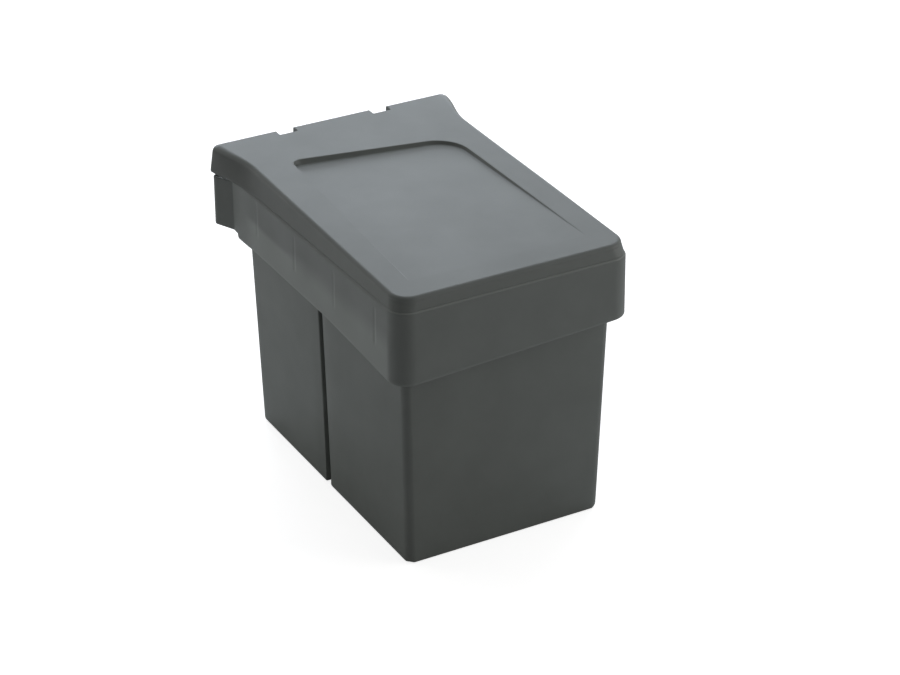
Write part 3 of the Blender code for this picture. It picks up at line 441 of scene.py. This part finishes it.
def dress_lid(finish):
    walls = skin(lid_side(LID_WALL)[::-1] + lid_side(0))
    shell = piece("lid_shell", [walls], "lid", ["lid"], finish)
    cut_through(shell, [((x - NOTCH_HALF, NOTCH_END, NOTCH_LOW), (x + NOTCH_HALF, -3, 302), 1.2)
                        for x in HINGE_PLACES])
    # Stores the painted shade on the lid's side walls.
    store_painted_light(shell, lid_painted_shade)
    cheeks = []
    top, back, front = 296.5, HINGE_Y + BOSS_RADIUS, HINGE_Y - BOSS_RADIUS
    hole = arc(HINGE_Y, HINGE_H, HINGE_BORE, -90, 270, 49)[:-1]
    outline = np.vstack([arc(HINGE_Y, HINGE_H, BOSS_RADIUS, -90, 0, 13),
                         straight((back, HINGE_H), (back, top), 1), straight((back, top), (front, top), 1),
                         straight((front, top), (front, HINGE_H), 1),
                         arc(HINGE_Y, HINGE_H, BOSS_RADIUS, -180, -90, 13)[:-1]])
    outer = matched(outline, bearing(hole, (HINGE_Y, HINGE_H)), (HINGE_Y, HINGE_H))
    for x in HINGE_PLACES:
        for low in (x - 13.2, x + 10.2):
            cheeks.append(skin(across(pierced_slab(outer, hole, low, low + 3, 0.25)), loop=True))
    piece("lid_cheeks", cheeks, "lid", ["lid"], finish)


# frame

def frame_outline():
    """Frame's side wall from above: round front corners, and flat ears that turn out at the back."""
    ear = FRAME_HALF + 15.16
    corners = [(FRAME_HALF, -DEPTH, FRAME_CORNER), (FRAME_HALF, EAR_START, 1.6), (ear, FRAME_BACK, 4.8),
               (-ear, FRAME_BACK, 4.8), (-FRAME_HALF, EAR_START, 1.6), (-FRAME_HALF, -DEPTH, FRAME_CORNER)]
    return start_at_front(rounded_path(corners, 1.25))


def bay_border(y):
    """Share of the bay nearest the door, and the height where each bay is drawn in most, along the web."""
    first = smoothstep((y + 190) / 40)
    return first, 244.3 - 3.0 * np.sin(np.pi * np.clip((y + 171) / 82, 0, 1)) * first


def panel_bow(x, y, nx, height):
    """How far the skirt's wall is drawn in, as cooling leaves it.

    Each bay between two ribs is drawn in along the web, in a soft V over the height that is sharpest in the
    bay nearest the door. Along the ribs runs a narrow groove. The front has one long shallow wave.
    """
    side = smoothstep((np.abs(nx) - 0.8) / 0.19) * smoothstep((-y - 76) / 12) * smoothstep((y + 366) / 24)
    first, bottom = bay_border(y)
    softness = 9.0 - 6.8 * first
    fold = np.sqrt((height - bottom) ** 2 + softness ** 2)
    valley = np.clip(1.12 - fold / 29, 0, 1)
    bay = np.sin(np.pi * np.clip((y - RIB_PLACES[3]) / (RIB_PLACES[0] - RIB_PLACES[3]), 0, 1) * 3) ** 2
    away = np.min(np.abs((y[:, None] - RIB_PLACES[None, :]) / 1.7), 1)
    groove = np.exp(-away ** 2) * smoothstep((height - 230) / 5) * smoothstep((271 - height) / 6)
    dimple = np.exp(-(away / 1.2) ** 2 - ((height - 234) / 3.5) ** 2)
    front = (1 - smoothstep((np.abs(nx) - 0.02) / 0.2)) * (y < -300)
    wave = np.cos(x / 104 * np.pi / 2) ** 2 * np.clip(1.1 - np.abs(height - 241) / 30, 0, 1)
    ripple = np.sin(x / 23 + height / 19) * np.sin(height / 13)
    hollow = bay * valley * (0.75 + 0.45 * first) + 0.45 * groove + 0.15 * dimple
    return side * hollow + front * (0.3 * wave + 0.04 * ripple)


def skirt_foot(x, y):
    """Height of the skirt's foot: level but for the front part, low at the left and high at the right."""
    forward = np.clip((-y - DEPTH + SKIRT_DIP_LENGTH) / SKIRT_DIP_LENGTH, 0, 1) ** 1.25
    leftward = (FRAME_HALF - x) / (2 * FRAME_HALF)
    return SKIRT_FOOT - (SKIRT_DIP_SPAN * leftward - SKIRT_LIFT) * forward


def frame_skirt():
    """Rings round the skirt's section: up the outside, over the rim, down the inside, and along the foot."""
    outline = frame_outline()
    x, y, nx, ny = outline.T
    ear = smoothstep((y - EAR_START + 1) / 3)
    top = rim_top(y) + (EAR_TOP - rim_top(y)) * ear
    near_step = np.clip((y + 46.5) / 2.0, 0, 1)
    foot = skirt_foot(x, y) - 1.2 * smoothstep((y + 90) / 40) + (1 - np.sqrt(1 - near_step ** 2))
    foot = np.where(y > -44.5, EAR_FOOT - 0.4 - 3.2 * np.clip((-14 - y) / 30, 0, 1), foot)
    facing = 1 - np.clip(ny, 0, 1)

    def ring(inset, height):
        flare = 0.4 * (273 - height) / 60 * facing
        return moved_in(outline, inset - flare + panel_bow(x, y, nx, height), height)

    radius = RIM_RADIUS * (1 - ear) + 0.9 * ear
    lip = 4.2 * (1 - ear) + 2.5 * ear
    rings = [ring(1.2, foot), ring(0.35, foot), ring(0.1, foot + 0.1), ring(0, foot + 0.4)]
    for t in np.linspace(0, 1, 31)[1:]:
        rings.append(ring(0, foot + 0.4 + (top - radius - foot - 0.4) * t))
    for a in np.radians(np.linspace(0, 90, 10))[1:]:
        inset = np.minimum(radius * (1 - math.cos(a)), lip - 0.2)
        rings.append(ring(inset, top - radius * (1 - math.sin(a))))
    rings += [ring(lip, top), ring(lip, top - 2.5), ring(FRAME_WALL, top - 4.2)]
    for t in np.linspace(0, 1, 12)[1:]:
        rings.append(ring(FRAME_WALL, top - 4.2 + (foot + 0.3 - top + 4.2) * t))
    return skin(rings, loop=True)


def skirt_painted_light(x, y, height):
    """Painted light on the skirt's sides.

    They are lighter below a soft border and darker above it, as painted sheen and shade, and pale over the
    ribs, at the rim and the foot, as painted highlights.
    """
    side = smoothstep((np.abs(x) - 118) / 2) * smoothstep((-y - 58) / 26) * smoothstep((y + 364) / 8)
    first, border = bay_border(y)
    # Painted sheen below the bay's border and painted shade above it.
    low = smoothstep((border - height) / (26 - 18 * first) + 0.5)
    forward = smoothstep((-y - 170) / 150)
    # Painted highlight streaks just beside the ribs.
    near_rib = np.exp(-np.min(np.abs(y[:, None] - 1.0 - RIB_PLACES[None, :]), 1) ** 2 / 4.0)
    streak = near_rib * smoothstep((height - 228) / 8) * smoothstep((273 - height) / 8)
    near_front = 0.3 + 0.7 * smoothstep((-y - 340) / 25)
    # Painted highlights: a line at the rim, strongest at the front, and one along the foot.
    rim = smoothstep((height - rim_top(y) + 2.2) / 1.2) * near_front * (y < -40)
    edge = 0.45 * smoothstep(skirt_foot(x, y) + 1.6 - height) * (y < -60)
    face = low * (0.72 + 0.28 * forward) - (1 - low) * 0.34 * (1 - forward) + 0.4 * streak
    return side * face + rim + edge


def frame_web():
    """Shelf inside the skirt that carries the bins' rims, with one large opening."""
    wall = frame_outline()
    swell = BIN_DRAFT * RIM_LOW + 1.5
    half, front, rear = BIN_HALF + swell, BIN_FRONT - swell, BIN_BACK + swell
    opening = rounded_path([(half, front, 10), (half, rear, 10), (-half, rear, 10), (-half, front, 10)])
    hole = matched(start_at_front(opening), bearing(wall, MIDDLE), MIDDLE)
    outer = wall.copy()
    outer[:, :2] -= outer[:, 2:] * WEB_INSET
    return skin(pierced_slab(outer, hole, WEB_LOW, WEB_HIGH, 0.2), loop=True)


def rib(place, sign=0):
    """Gusset below the web and low rib above it: on the side named by sign, or on the front."""
    wall, half = FRAME_HALF - FRAME_WALL if sign else DEPTH - FRAME_WALL, RIB_THICKNESS / 2
    corners = [(wall + 1.2, RIB_FOOT), (wall + 1.2, RIB_TOP), (wall - 1.2, RIB_TOP), (wall - 1.2, 245),
               (wall - 8.5, 245), (wall - 8.5, WEB_LOW), (wall, RIB_FOOT)]
    outline = rounded_path([(away, h, 0.2) for away, h in corners], 4, 45)
    rings = np.array(slab(outline, place - half, place + half, 0.2))[..., [0, 2, 1] if sign else [2, 0, 1]]
    rings[..., 0 if sign else 1] *= sign or -1
    return skin(rings)


def lug(x):
    """Hinge lug: a neck that rises from the back wall to a round head with the pin's bore."""
    centre = (HINGE_Y, HINGE_H)
    corners = [(-14.6, 258.3, 0.3), (-13.2, 264.3, 2), (-7.2, 278.3, 4), (-7.2, 291.9, 3.59),
               (-14.4, 291.9, 3.59), (-14.4, 270.3, 8)]
    hole = arc(HINGE_Y, HINGE_H, HINGE_BORE, -90, 270, 97)[:-1]
    outer = matched(rounded_path(corners, 0.8, 10), bearing(hole, centre), centre)
    return skin(across(pierced_slab(outer, hole, x - 8, x + 8, 0.3)), loop=True)


def dress_frame(finish):
    windows = [((x - 13.5, -18.1, 239), (x + 13.5, -10, 255.6), 0.5) for x in HINGE_PLACES]
    skirt = piece("frame_skirt", [frame_skirt()], "frame", ["frame"], finish)
    cut_through(skirt, windows)
    # Stores the painted sheen, shade and highlights on the skirt.
    store_painted_light(skirt, skirt_painted_light)
    web = piece("frame_web", [frame_web()], "frame", ["frame"], finish)
    cut_through(web, windows)
    ribs = [rib(y, sign) for y in RIB_PLACES for sign in (-1, 1)] + [rib(x) for x in (-75.0, 0.0, 75.0)]
    piece("frame_ribs", ribs, "frame", ["frame"], finish)
    piece("frame_lugs", [lug(x) for x in HINGE_PLACES], "frame", ["frame"], finish)


# bins

def bin_ring(end, rise, grow, reach=0.0):
    """Outline at a rise of a bin with its end in front.

    Three walls lean out with the rise. The wall at the seam hardly does, and its corners are tighter.
    """
    lean = BIN_DRAFT * rise
    half = RIM_HALF if reach else BIN_HALF + lean + grow
    front = end - lean - grow - reach
    rear = SEAM_Y - (RIM_GAP / 2 if reach else SEAM_GAP / 2 - SEAM_DRAFT * rise) + min(grow, 0.0)
    radius = max(BIN_CORNER + min(grow, 0.0), 0.6)
    outer = radius + RIM_CORNER_GROWTH if reach else radius
    inner = radius * (SEAM_CORNER_FRONT_BIN if end == BIN_FRONT else SEAM_CORNER_REAR_BIN)
    corners = [(half, front, outer), (half, rear, inner), (-half, rear, inner), (-half, front, outer)]
    return start_at_front(rounded_path(corners, 4.0, 4.5))


def corner_edge(nx, ny):
    """Radius of a bin's lower edge: small along the walls, larger at the upright corners."""
    return BIN_FOOT_RADIUS + BIN_FOOT_CORNER * (2 * nx * ny) ** 2


def bin_body(end):
    """Rings of a bin: from its floor up the inside, over the rim, down the outside and on below the floor."""
    centre = (0.0, (end + SEAM_Y) / 2)
    angles = bearing(bin_ring(end, 120, 0), centre)

    def ring(rise, grow, reach=0.0):
        return moved_in(matched(bin_ring(end, rise, grow, reach), angles, centre), 0, rise)

    def floor_ring(rise, grow, share):
        flat = ring(rise, grow)
        flat[:, :2] += (np.array(centre) - flat[:, :2]) * share
        return flat

    def wall_ring(rise):
        """Outer wall, bowed out at mid height as a deep moulding is, and drawn in beside the seam."""
        outline = matched(bin_ring(end, rise, 0), angles, centre)
        x, y, nx, ny = outline.T
        across_face = np.cos(np.clip(x / BIN_HALF, -1, 1) * np.pi / 2) * np.abs(ny)
        along_face = np.cos(np.clip((y - centre[1]) / 80, -1, 1) * np.pi / 2) * np.abs(nx)
        height = np.sin(np.pi * np.clip(rise / RIM_LOW, 0, 1))
        drawn = 0.9 * smoothstep((y - SEAM_Y + 26) / 24) ** 2 * nx ** 2 * smoothstep(rise / 12)
        bow = 0.45 * height * (across_face * (ny < 0) + along_face)
        return moved_in(outline, drawn - bow, np.maximum(rise, corner_edge(nx, ny)))

    rings = [floor_ring(BIN_WALL, -BIN_WALL - 3, share) for share in (0.95, 0.5, 0.1)]
    for a in np.radians(np.linspace(0, 90, 6)):
        rings.append(ring(BIN_WALL + 3 * (1 - math.cos(a)), -BIN_WALL - 3 * (1 - math.sin(a))))
    for rise in np.linspace(5, RIM_HIGH - 0.4, 9)[1:]:
        rings.append(ring(rise, -BIN_WALL))
    rings += [ring(RIM_HIGH, -BIN_WALL + 0.4), ring(RIM_HIGH, -0.4, RIM_REACH - 0.4),
              ring(RIM_HIGH - 0.4, 0, RIM_REACH), ring(RIM_LOW + 0.4, 0, RIM_REACH),
              ring(RIM_LOW, -0.4, RIM_REACH - 0.4), ring(RIM_LOW, 0.8), ring(RIM_LOW - 0.8, 0)]
    for rise in np.linspace(RIM_LOW - 0.8, BIN_FOOT_RADIUS, 25)[1:]:
        rings.append(wall_ring(rise))
    low = matched(bin_ring(end, BIN_FOOT_RADIUS, 0), angles, centre)
    own = corner_edge(low[:, 2], low[:, 3])
    for a in np.radians(np.linspace(90, 0, 8))[1:]:
        rings.append(moved_in(low, own * (1 - math.sin(a)), own * (1 - math.cos(a))))
    rings += [floor_ring(0, -BIN_FOOT_RADIUS, share) for share in (0.1, 0.5, 0.95)]
    return skin(rings)


def pivot_at(end):
    """Place of the bail's pivot, the middle of the bin's mouth."""
    return (end - BIN_DRAFT * RIM_LOW + SEAM_Y) / 2


def bin_ears(end):
    """Two ears on a bin's rim, round above, with a bore for the bail's stub."""
    y = pivot_at(end)
    hole = arc(y, PIVOT_H, STUB_BORE, -90, 270, 49)[:-1]
    corners = [(y - 5.2, 247.7, 0.2), (y + 5.2, 247.7, 0.2), (y + 5.2, 255.6, 5.1), (y - 5.2, 255.6, 5.1)]
    outer = matched(rounded_path(corners, 0.7, 8), bearing(hole, (y, PIVOT_H)), (y, PIVOT_H))
    lows = (110.44, -112.64)
    return [skin(across(pierced_slab(outer, hole, low, low + 2.2, 0.2)), loop=True) for low in lows]


def bail(end):
    """U-shaped bail lying on a bin's rim, with stubs turned in through the ears."""
    inner, outer, front, y = 113.24, 118.24, end - 11.09, pivot_at(end)
    corners = [(outer, front, 10), (outer, y + 2.1, 2), (inner, y + 2.1, 2), (inner, front + 7, 5),
               (-inner, front + 7, 5), (-inner, y + 2.1, 2), (-outer, y + 2.1, 2), (-outer, front, 10)]
    parts = [skin(slab(rounded_path(corners, 4, 10), BAIL_LOW, BAIL_HIGH, 1.1))]
    profile = ((115.7, STUB_RADIUS), (110.9, STUB_RADIUS), (110.5, 1.5))
    for side in (-1, 1):
        stubs = [(side * x, arc(y, PIVOT_H, radius, 0, 348.75, 32)) for x, radius in profile]
        parts.append(skin([np.stack([np.full(32, x), *stub.T[:2]], 1) for x, stub in stubs]))
    return parts


def half_turned(parts):
    """The same skins turned half round about the upright line through the seam."""
    return [(np.array([0, 2 * SEAM_Y, 0]) + places * np.array([-1, -1, 1]), faces) for places, faces in parts]


def dress_bins(finish, bail_finish):
    front = ("front", BIN_FRONT, lambda parts: parts)
    rear = ("rear", 2 * SEAM_Y - BIN_BACK, half_turned)
    for place, end, turn in (front, rear):
        name = place + "_bin"
        piece(name + "_body", turn([bin_body(end)]), name, [name], finish)
        piece(name + "_ears", turn(bin_ears(end)), name, [name], finish)
        piece(place + "_bail", turn(bail(end)), place + "_bail", [name + "_bail"],
              bail_finish, 40)


# hinge pins and bracket

def pin(x):
    """Turned pin: a circle at each (place, radius) of its profile, with its head towards the middle."""
    out = 1 if x > 0 else -1
    profile = [(out * 13.5, 1.6), (out * 13.1, 2.0), (-out * 13.5, 2.0), (-out * 13.5, 2.9),
               (-out * 13.8, 3.2), (-out * 14.4, 3.2), (-out * 14.7, 2.9), (-out * 14.7, 0.4)]
    a = np.linspace(0, 2 * np.pi, 49)[:-1]
    return skin([np.stack([np.full(48, x + place), HINGE_Y + r * np.cos(a), HINGE_H + r * np.sin(a)], 1)
                 for place, r in profile])


def dress_hardware(steel, zinc):
    for side, x in zip(("left", "right"), HINGE_PLACES):
        piece(f"pin_{side}", [pin(x)], "frame", [f"hinge_pin_{side}"], steel, 25)
    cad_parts["door_bracket"].data.materials.clear()
    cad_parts["door_bracket"].data.materials.append(zinc)


# finishes

class Finish:
    """A material and short ways to add nodes to it. Its noise reads Object coordinates, in metres."""

    def __init__(self, name):
        self.material = bpy.data.materials.new(name)
        self.material.use_nodes = True
        self.tree = self.material.node_tree
        self.shader = self.tree.nodes["Principled BSDF"]
        self.place = self.tree.nodes.new("ShaderNodeTexCoord").outputs["Object"]

    def node(self, kind, **values):
        made = self.tree.nodes.new(kind)
        for key, value in values.items():
            if hasattr(made, key):
                setattr(made, key, value)
            else:
                made.inputs[key.replace("_", " ")].default_value = value
        return made

    def link(self, source, target):
        self.tree.links.new(source, target)

    def noise(self, scale, detail=3.0, stretch=(1, 1, 1)):
        mapping = self.node("ShaderNodeMapping")
        mapping.inputs["Scale"].default_value = stretch
        self.link(self.place, mapping.inputs["Vector"])
        made = self.node("ShaderNodeTexNoise", Scale=scale, Detail=detail)
        self.link(mapping.outputs["Vector"], made.inputs["Vector"])
        return made.outputs["Fac"]

    def spread(self, source, low, high, start=0.3, end=0.7, shape="LINEAR"):
        made = self.node("ShaderNodeMapRange", interpolation_type=shape)
        for key, value in (("From Min", start), ("From Max", end), ("To Min", low), ("To Max", high)):
            made.inputs[key].default_value = value
        self.link(source, made.inputs["Value"])
        return made.outputs["Result"]

    def blend(self, source, first, second):
        made = self.node("ShaderNodeMix", data_type="RGBA")
        made.inputs["A"].default_value = (*first, 1)
        made.inputs["B"].default_value = (*second, 1)
        self.link(source, made.inputs["Factor"])
        return made.outputs["Result"]

    def bump(self, source, strength, distance, under=None):
        made = self.node("ShaderNodeBump", Strength=strength, Distance=distance)
        self.link(source, made.inputs["Height"])
        if under:
            self.link(under, made.inputs["Normal"])
        return made.outputs["Normal"]


def moulded_grey(name, shade, roughness):
    """Grey polypropylene: cloudy pigment, stored painted light and shade, a fine sparked grain and uneven
    gloss.

    Clouds and the painted light add up to a share from -1 to 1, which blends from a darker grey to a lighter
    one.
    """
    finish = Finish(name)
    clouds = finish.spread(finish.noise(24, 4), -0.11, 0.11)
    # Painted light and shade stored at the vertices, where a piece has them.
    painted_light_layer = finish.node("ShaderNodeAttribute", attribute_name="painted_light_and_gloss")
    both = finish.node("ShaderNodeMath", operation="ADD")
    finish.link(clouds, both.inputs[0])
    finish.link(painted_light_layer.outputs["Fac"], both.inputs[1])
    # The darker and lighter greys carry both the cloudy pigment and the painted light.
    light, dark = tuple(c * 1.4 for c in shade), tuple(c * 0.6 for c in shade)
    tone = finish.blend(finish.spread(both.outputs[0], 0, 1, -1, 1), dark, light)
    finish.link(tone, finish.shader.inputs["Base Color"])
    painted_light_and_gloss = finish.noise(9, 3, (1.0, 0.35, 1.6))
    finish.link(finish.spread(painted_light_and_gloss, roughness - 0.03, roughness + 0.04), finish.shader.inputs["Roughness"])
    waves = finish.bump(finish.noise(32, 2), 0.12, 0.0004)
    grain = finish.bump(finish.noise(2200, 2), 0.10, 0.00004, waves)
    finish.link(grain, finish.shader.inputs["Normal"])
    finish.shader.inputs["IOR"].default_value = 1.49
    return finish.material


def sheet_metal(name, shade, roughness, stretch):
    """Metal with fine drawn lines: noise stretched along one way, in the gloss and in a slight bump."""
    finish = Finish(name)
    lines = finish.noise(900, 4, stretch)
    clouds = finish.noise(60, 3)
    dark = tuple(c * 0.88 for c in shade)
    finish.link(finish.blend(finish.spread(clouds, 0, 1), dark, shade), finish.shader.inputs["Base Color"])
    finish.link(finish.spread(lines, roughness - 0.06, roughness + 0.08), finish.shader.inputs["Roughness"])
    finish.link(finish.bump(lines, 0.15, 0.00003), finish.shader.inputs["Normal"])
    finish.shader.inputs["Metallic"].default_value = 1.0
    return finish.material


# floor, light and camera

def lay_floor():
    """Pale floor below the bins, with painted shade towards the near left.

    To the camera it is white where light falls on it, and keeps a soft shadow.
    """
    mesh = bpy.data.meshes.new("floor")
    reach, height = 12.0, -MOUNT_HEIGHT * MM - 0.0006
    corners = [(x * reach, y * reach, height) for x, y in ((-1, -1), (1, -1), (1, 1), (-1, 1))]
    mesh.from_pydata(corners, [], [(0, 1, 2, 3)])
    floor = bpy.data.objects.new("floor", mesh)
    bpy.context.scene.collection.objects.link(floor)
    finish = Finish("pale_floor")
    grain = finish.noise(40, 2)
    paper = finish.blend(finish.spread(grain, 0, 1), (0.79, 0.79, 0.79), (0.81, 0.81, 0.81))
    # Painted shade: the floor's grey darkens towards the near left, so it throws back less light there.
    nearer = finish.node("ShaderNodeVectorMath", operation="DOT_PRODUCT")
    nearer.inputs[1].default_value = (-0.6, -0.8, 0.0)
    finish.link(finish.place, nearer.inputs[0])
    tone = finish.node("ShaderNodeMix", data_type="RGBA")
    tone.inputs["B"].default_value = (0.62, 0.62, 0.62, 1)
    finish.link(finish.spread(nearer.outputs["Value"], 0, 1, 0.2, 0.9, "SMOOTHSTEP"), tone.inputs["Factor"])
    finish.link(paper, tone.inputs["A"])
    finish.link(tone.outputs["Result"], finish.shader.inputs["Base Color"])
    finish.shader.inputs["Roughness"].default_value = 0.9
    finish.shader.inputs["Specular IOR Level"].default_value = 0.0
    glow = finish.node("ShaderNodeEmission")
    seen = finish.node("ShaderNodeLightPath")
    rays = finish.node("ShaderNodeMath", operation="MAXIMUM")
    finish.link(seen.outputs["Is Camera Ray"], rays.inputs[0])
    finish.link(seen.outputs["Is Transmission Ray"], rays.inputs[1])
    dim = finish.node("ShaderNodeMath", operation="MULTIPLY")
    dim.inputs[1].default_value = 0.80
    finish.link(rays.outputs[0], dim.inputs[0])
    finish.link(dim.outputs[0], glow.inputs["Strength"])
    both = finish.node("ShaderNodeAddShader")
    finish.link(finish.shader.outputs["BSDF"], both.inputs[0])
    finish.link(glow.outputs["Emission"], both.inputs[1])
    out = finish.tree.nodes["Material Output"]
    finish.link(both.outputs["Shader"], out.inputs["Surface"])
    mesh.materials.append(finish.material)


def placing(right, up, forward, place):
    """Matrix of a lamp or camera that looks forward: its columns are right, up, backwards and its place."""
    rows = [[right[k], up[k], -forward[k], place[k]] for k in range(3)]
    return Matrix(rows + [[0, 0, 0, 1]])


def soft_box(name, place, target, size, power, colour):
    """Rectangular area lamp aimed at a point."""
    lamp = bpy.data.lights.new(name, "AREA")
    lamp.shape = "RECTANGLE"
    lamp.size, lamp.size_y = size
    lamp.energy = power
    lamp.color = colour
    obj = bpy.data.objects.new(name, lamp)
    bpy.context.scene.collection.objects.link(obj)
    aim = np.array(target, float) - np.array(place, float)
    forward = aim / np.linalg.norm(aim)
    side = np.cross(forward, (0, 0.001, 1))
    side /= np.linalg.norm(side)
    obj.matrix_world = placing(side, np.cross(side, forward), forward, place)
    return obj


def light_studio():
    """Four soft boxes and a dim room that is brighter behind the object and white to the camera.

    One hangs above at the rear right, one stands low behind, and a weaker one stands at each side. The
    left one is kept out of reflections.
    """
    soft_box("overhead", (1.0, 1.2, 1.5), (0, -0.15, 0), (2.0, 1.6), 14, (0.82, 0.90, 1.0))
    soft_box("behind", (0.7, 1.9, 0.42), (0, -0.15, 0.05), (1.8, 0.5), 15, (0.84, 0.91, 1.0))
    left = soft_box("left", (-1.5, 1.5, 0.2), (0, -0.2, -0.1), (1.2, 0.8), 8, (1.0, 0.995, 0.98))
    left.visible_glossy = False
    soft_box("right", (1.7, -1.5, 0.6), (0, -0.2, 0), (1.2, 1.0), 9, (1.0, 0.995, 0.98))
    world = bpy.data.worlds.new("room")
    bpy.context.scene.world = world
    world.use_nodes = True
    tree = world.node_tree
    back = tree.nodes["Background"]
    way = tree.nodes.new("ShaderNodeTexCoord")
    along = tree.nodes.new("ShaderNodeVectorMath")
    along.operation = "DOT_PRODUCT"
    along.inputs[1].default_value = (0.6, 0.8, 0.0)
    tree.links.new(way.outputs["Generated"], along.inputs[0])
    behind = tree.nodes.new("ShaderNodeMapRange")
    for key, value in (("From Min", -0.6), ("From Max", 0.8), ("To Min", 0.11), ("To Max", 0.5)):
        behind.inputs[key].default_value = value
    tree.links.new(along.outputs["Value"], behind.inputs["Value"])
    seen = tree.nodes.new("ShaderNodeLightPath")
    white = tree.nodes.new("ShaderNodeMix")
    white.inputs["B"].default_value = 1.0
    tree.links.new(seen.outputs["Is Camera Ray"], white.inputs["Factor"])
    tree.links.new(behind.outputs["Result"], white.inputs["A"])
    tree.links.new(white.outputs["Result"], back.inputs["Strength"])
    back.inputs["Color"].default_value = (1, 1, 1, 1)


def place_camera():
    """Camera on the photograph's line of sight: turned 28.87 degrees, 28.78 down, rolled a quarter of one."""
    turn, down, roll = math.radians(28.87), math.radians(28.78), math.radians(-0.24)
    forward = np.array([math.sin(turn) * math.cos(down), math.cos(turn) * math.cos(down), -math.sin(down)])
    level = np.array([math.cos(turn), -math.sin(turn), 0.0])
    up = np.cross(level, forward)
    right = math.cos(roll) * level + math.sin(roll) * up
    upright = math.cos(roll) * up - math.sin(roll) * level
    lens = bpy.data.cameras.new("camera")
    lens.lens = 112.56
    lens.sensor_width = 36
    lens.sensor_fit = "HORIZONTAL"
    camera = bpy.data.objects.new("camera", lens)
    bpy.context.scene.collection.objects.link(camera)
    camera.matrix_world = placing(right, upright, forward, (-1.1372, -2.3134, 1.2181))
    bpy.context.scene.camera = camera


place_camera()
bpy.context.scene.view_settings.view_transform = "Standard"
lay_floor()
light_studio()
grey = moulded_grey("satin_grey_moulding", (0.185, 0.199, 0.188), 0.46)
bin_grey = moulded_grey("satin_grey_bin", (0.176, 0.190, 0.178), 0.48)
dress_lid(grey)
dress_frame(grey)
dress_bins(bin_grey, grey)
dress_hardware(sheet_metal("bright_pin_steel", (0.62, 0.62, 0.63), 0.3, (1, 14, 14)),
               sheet_metal("zinc_plated_sheet", (0.60, 0.61, 0.62), 0.36, (1, 14, 14)))
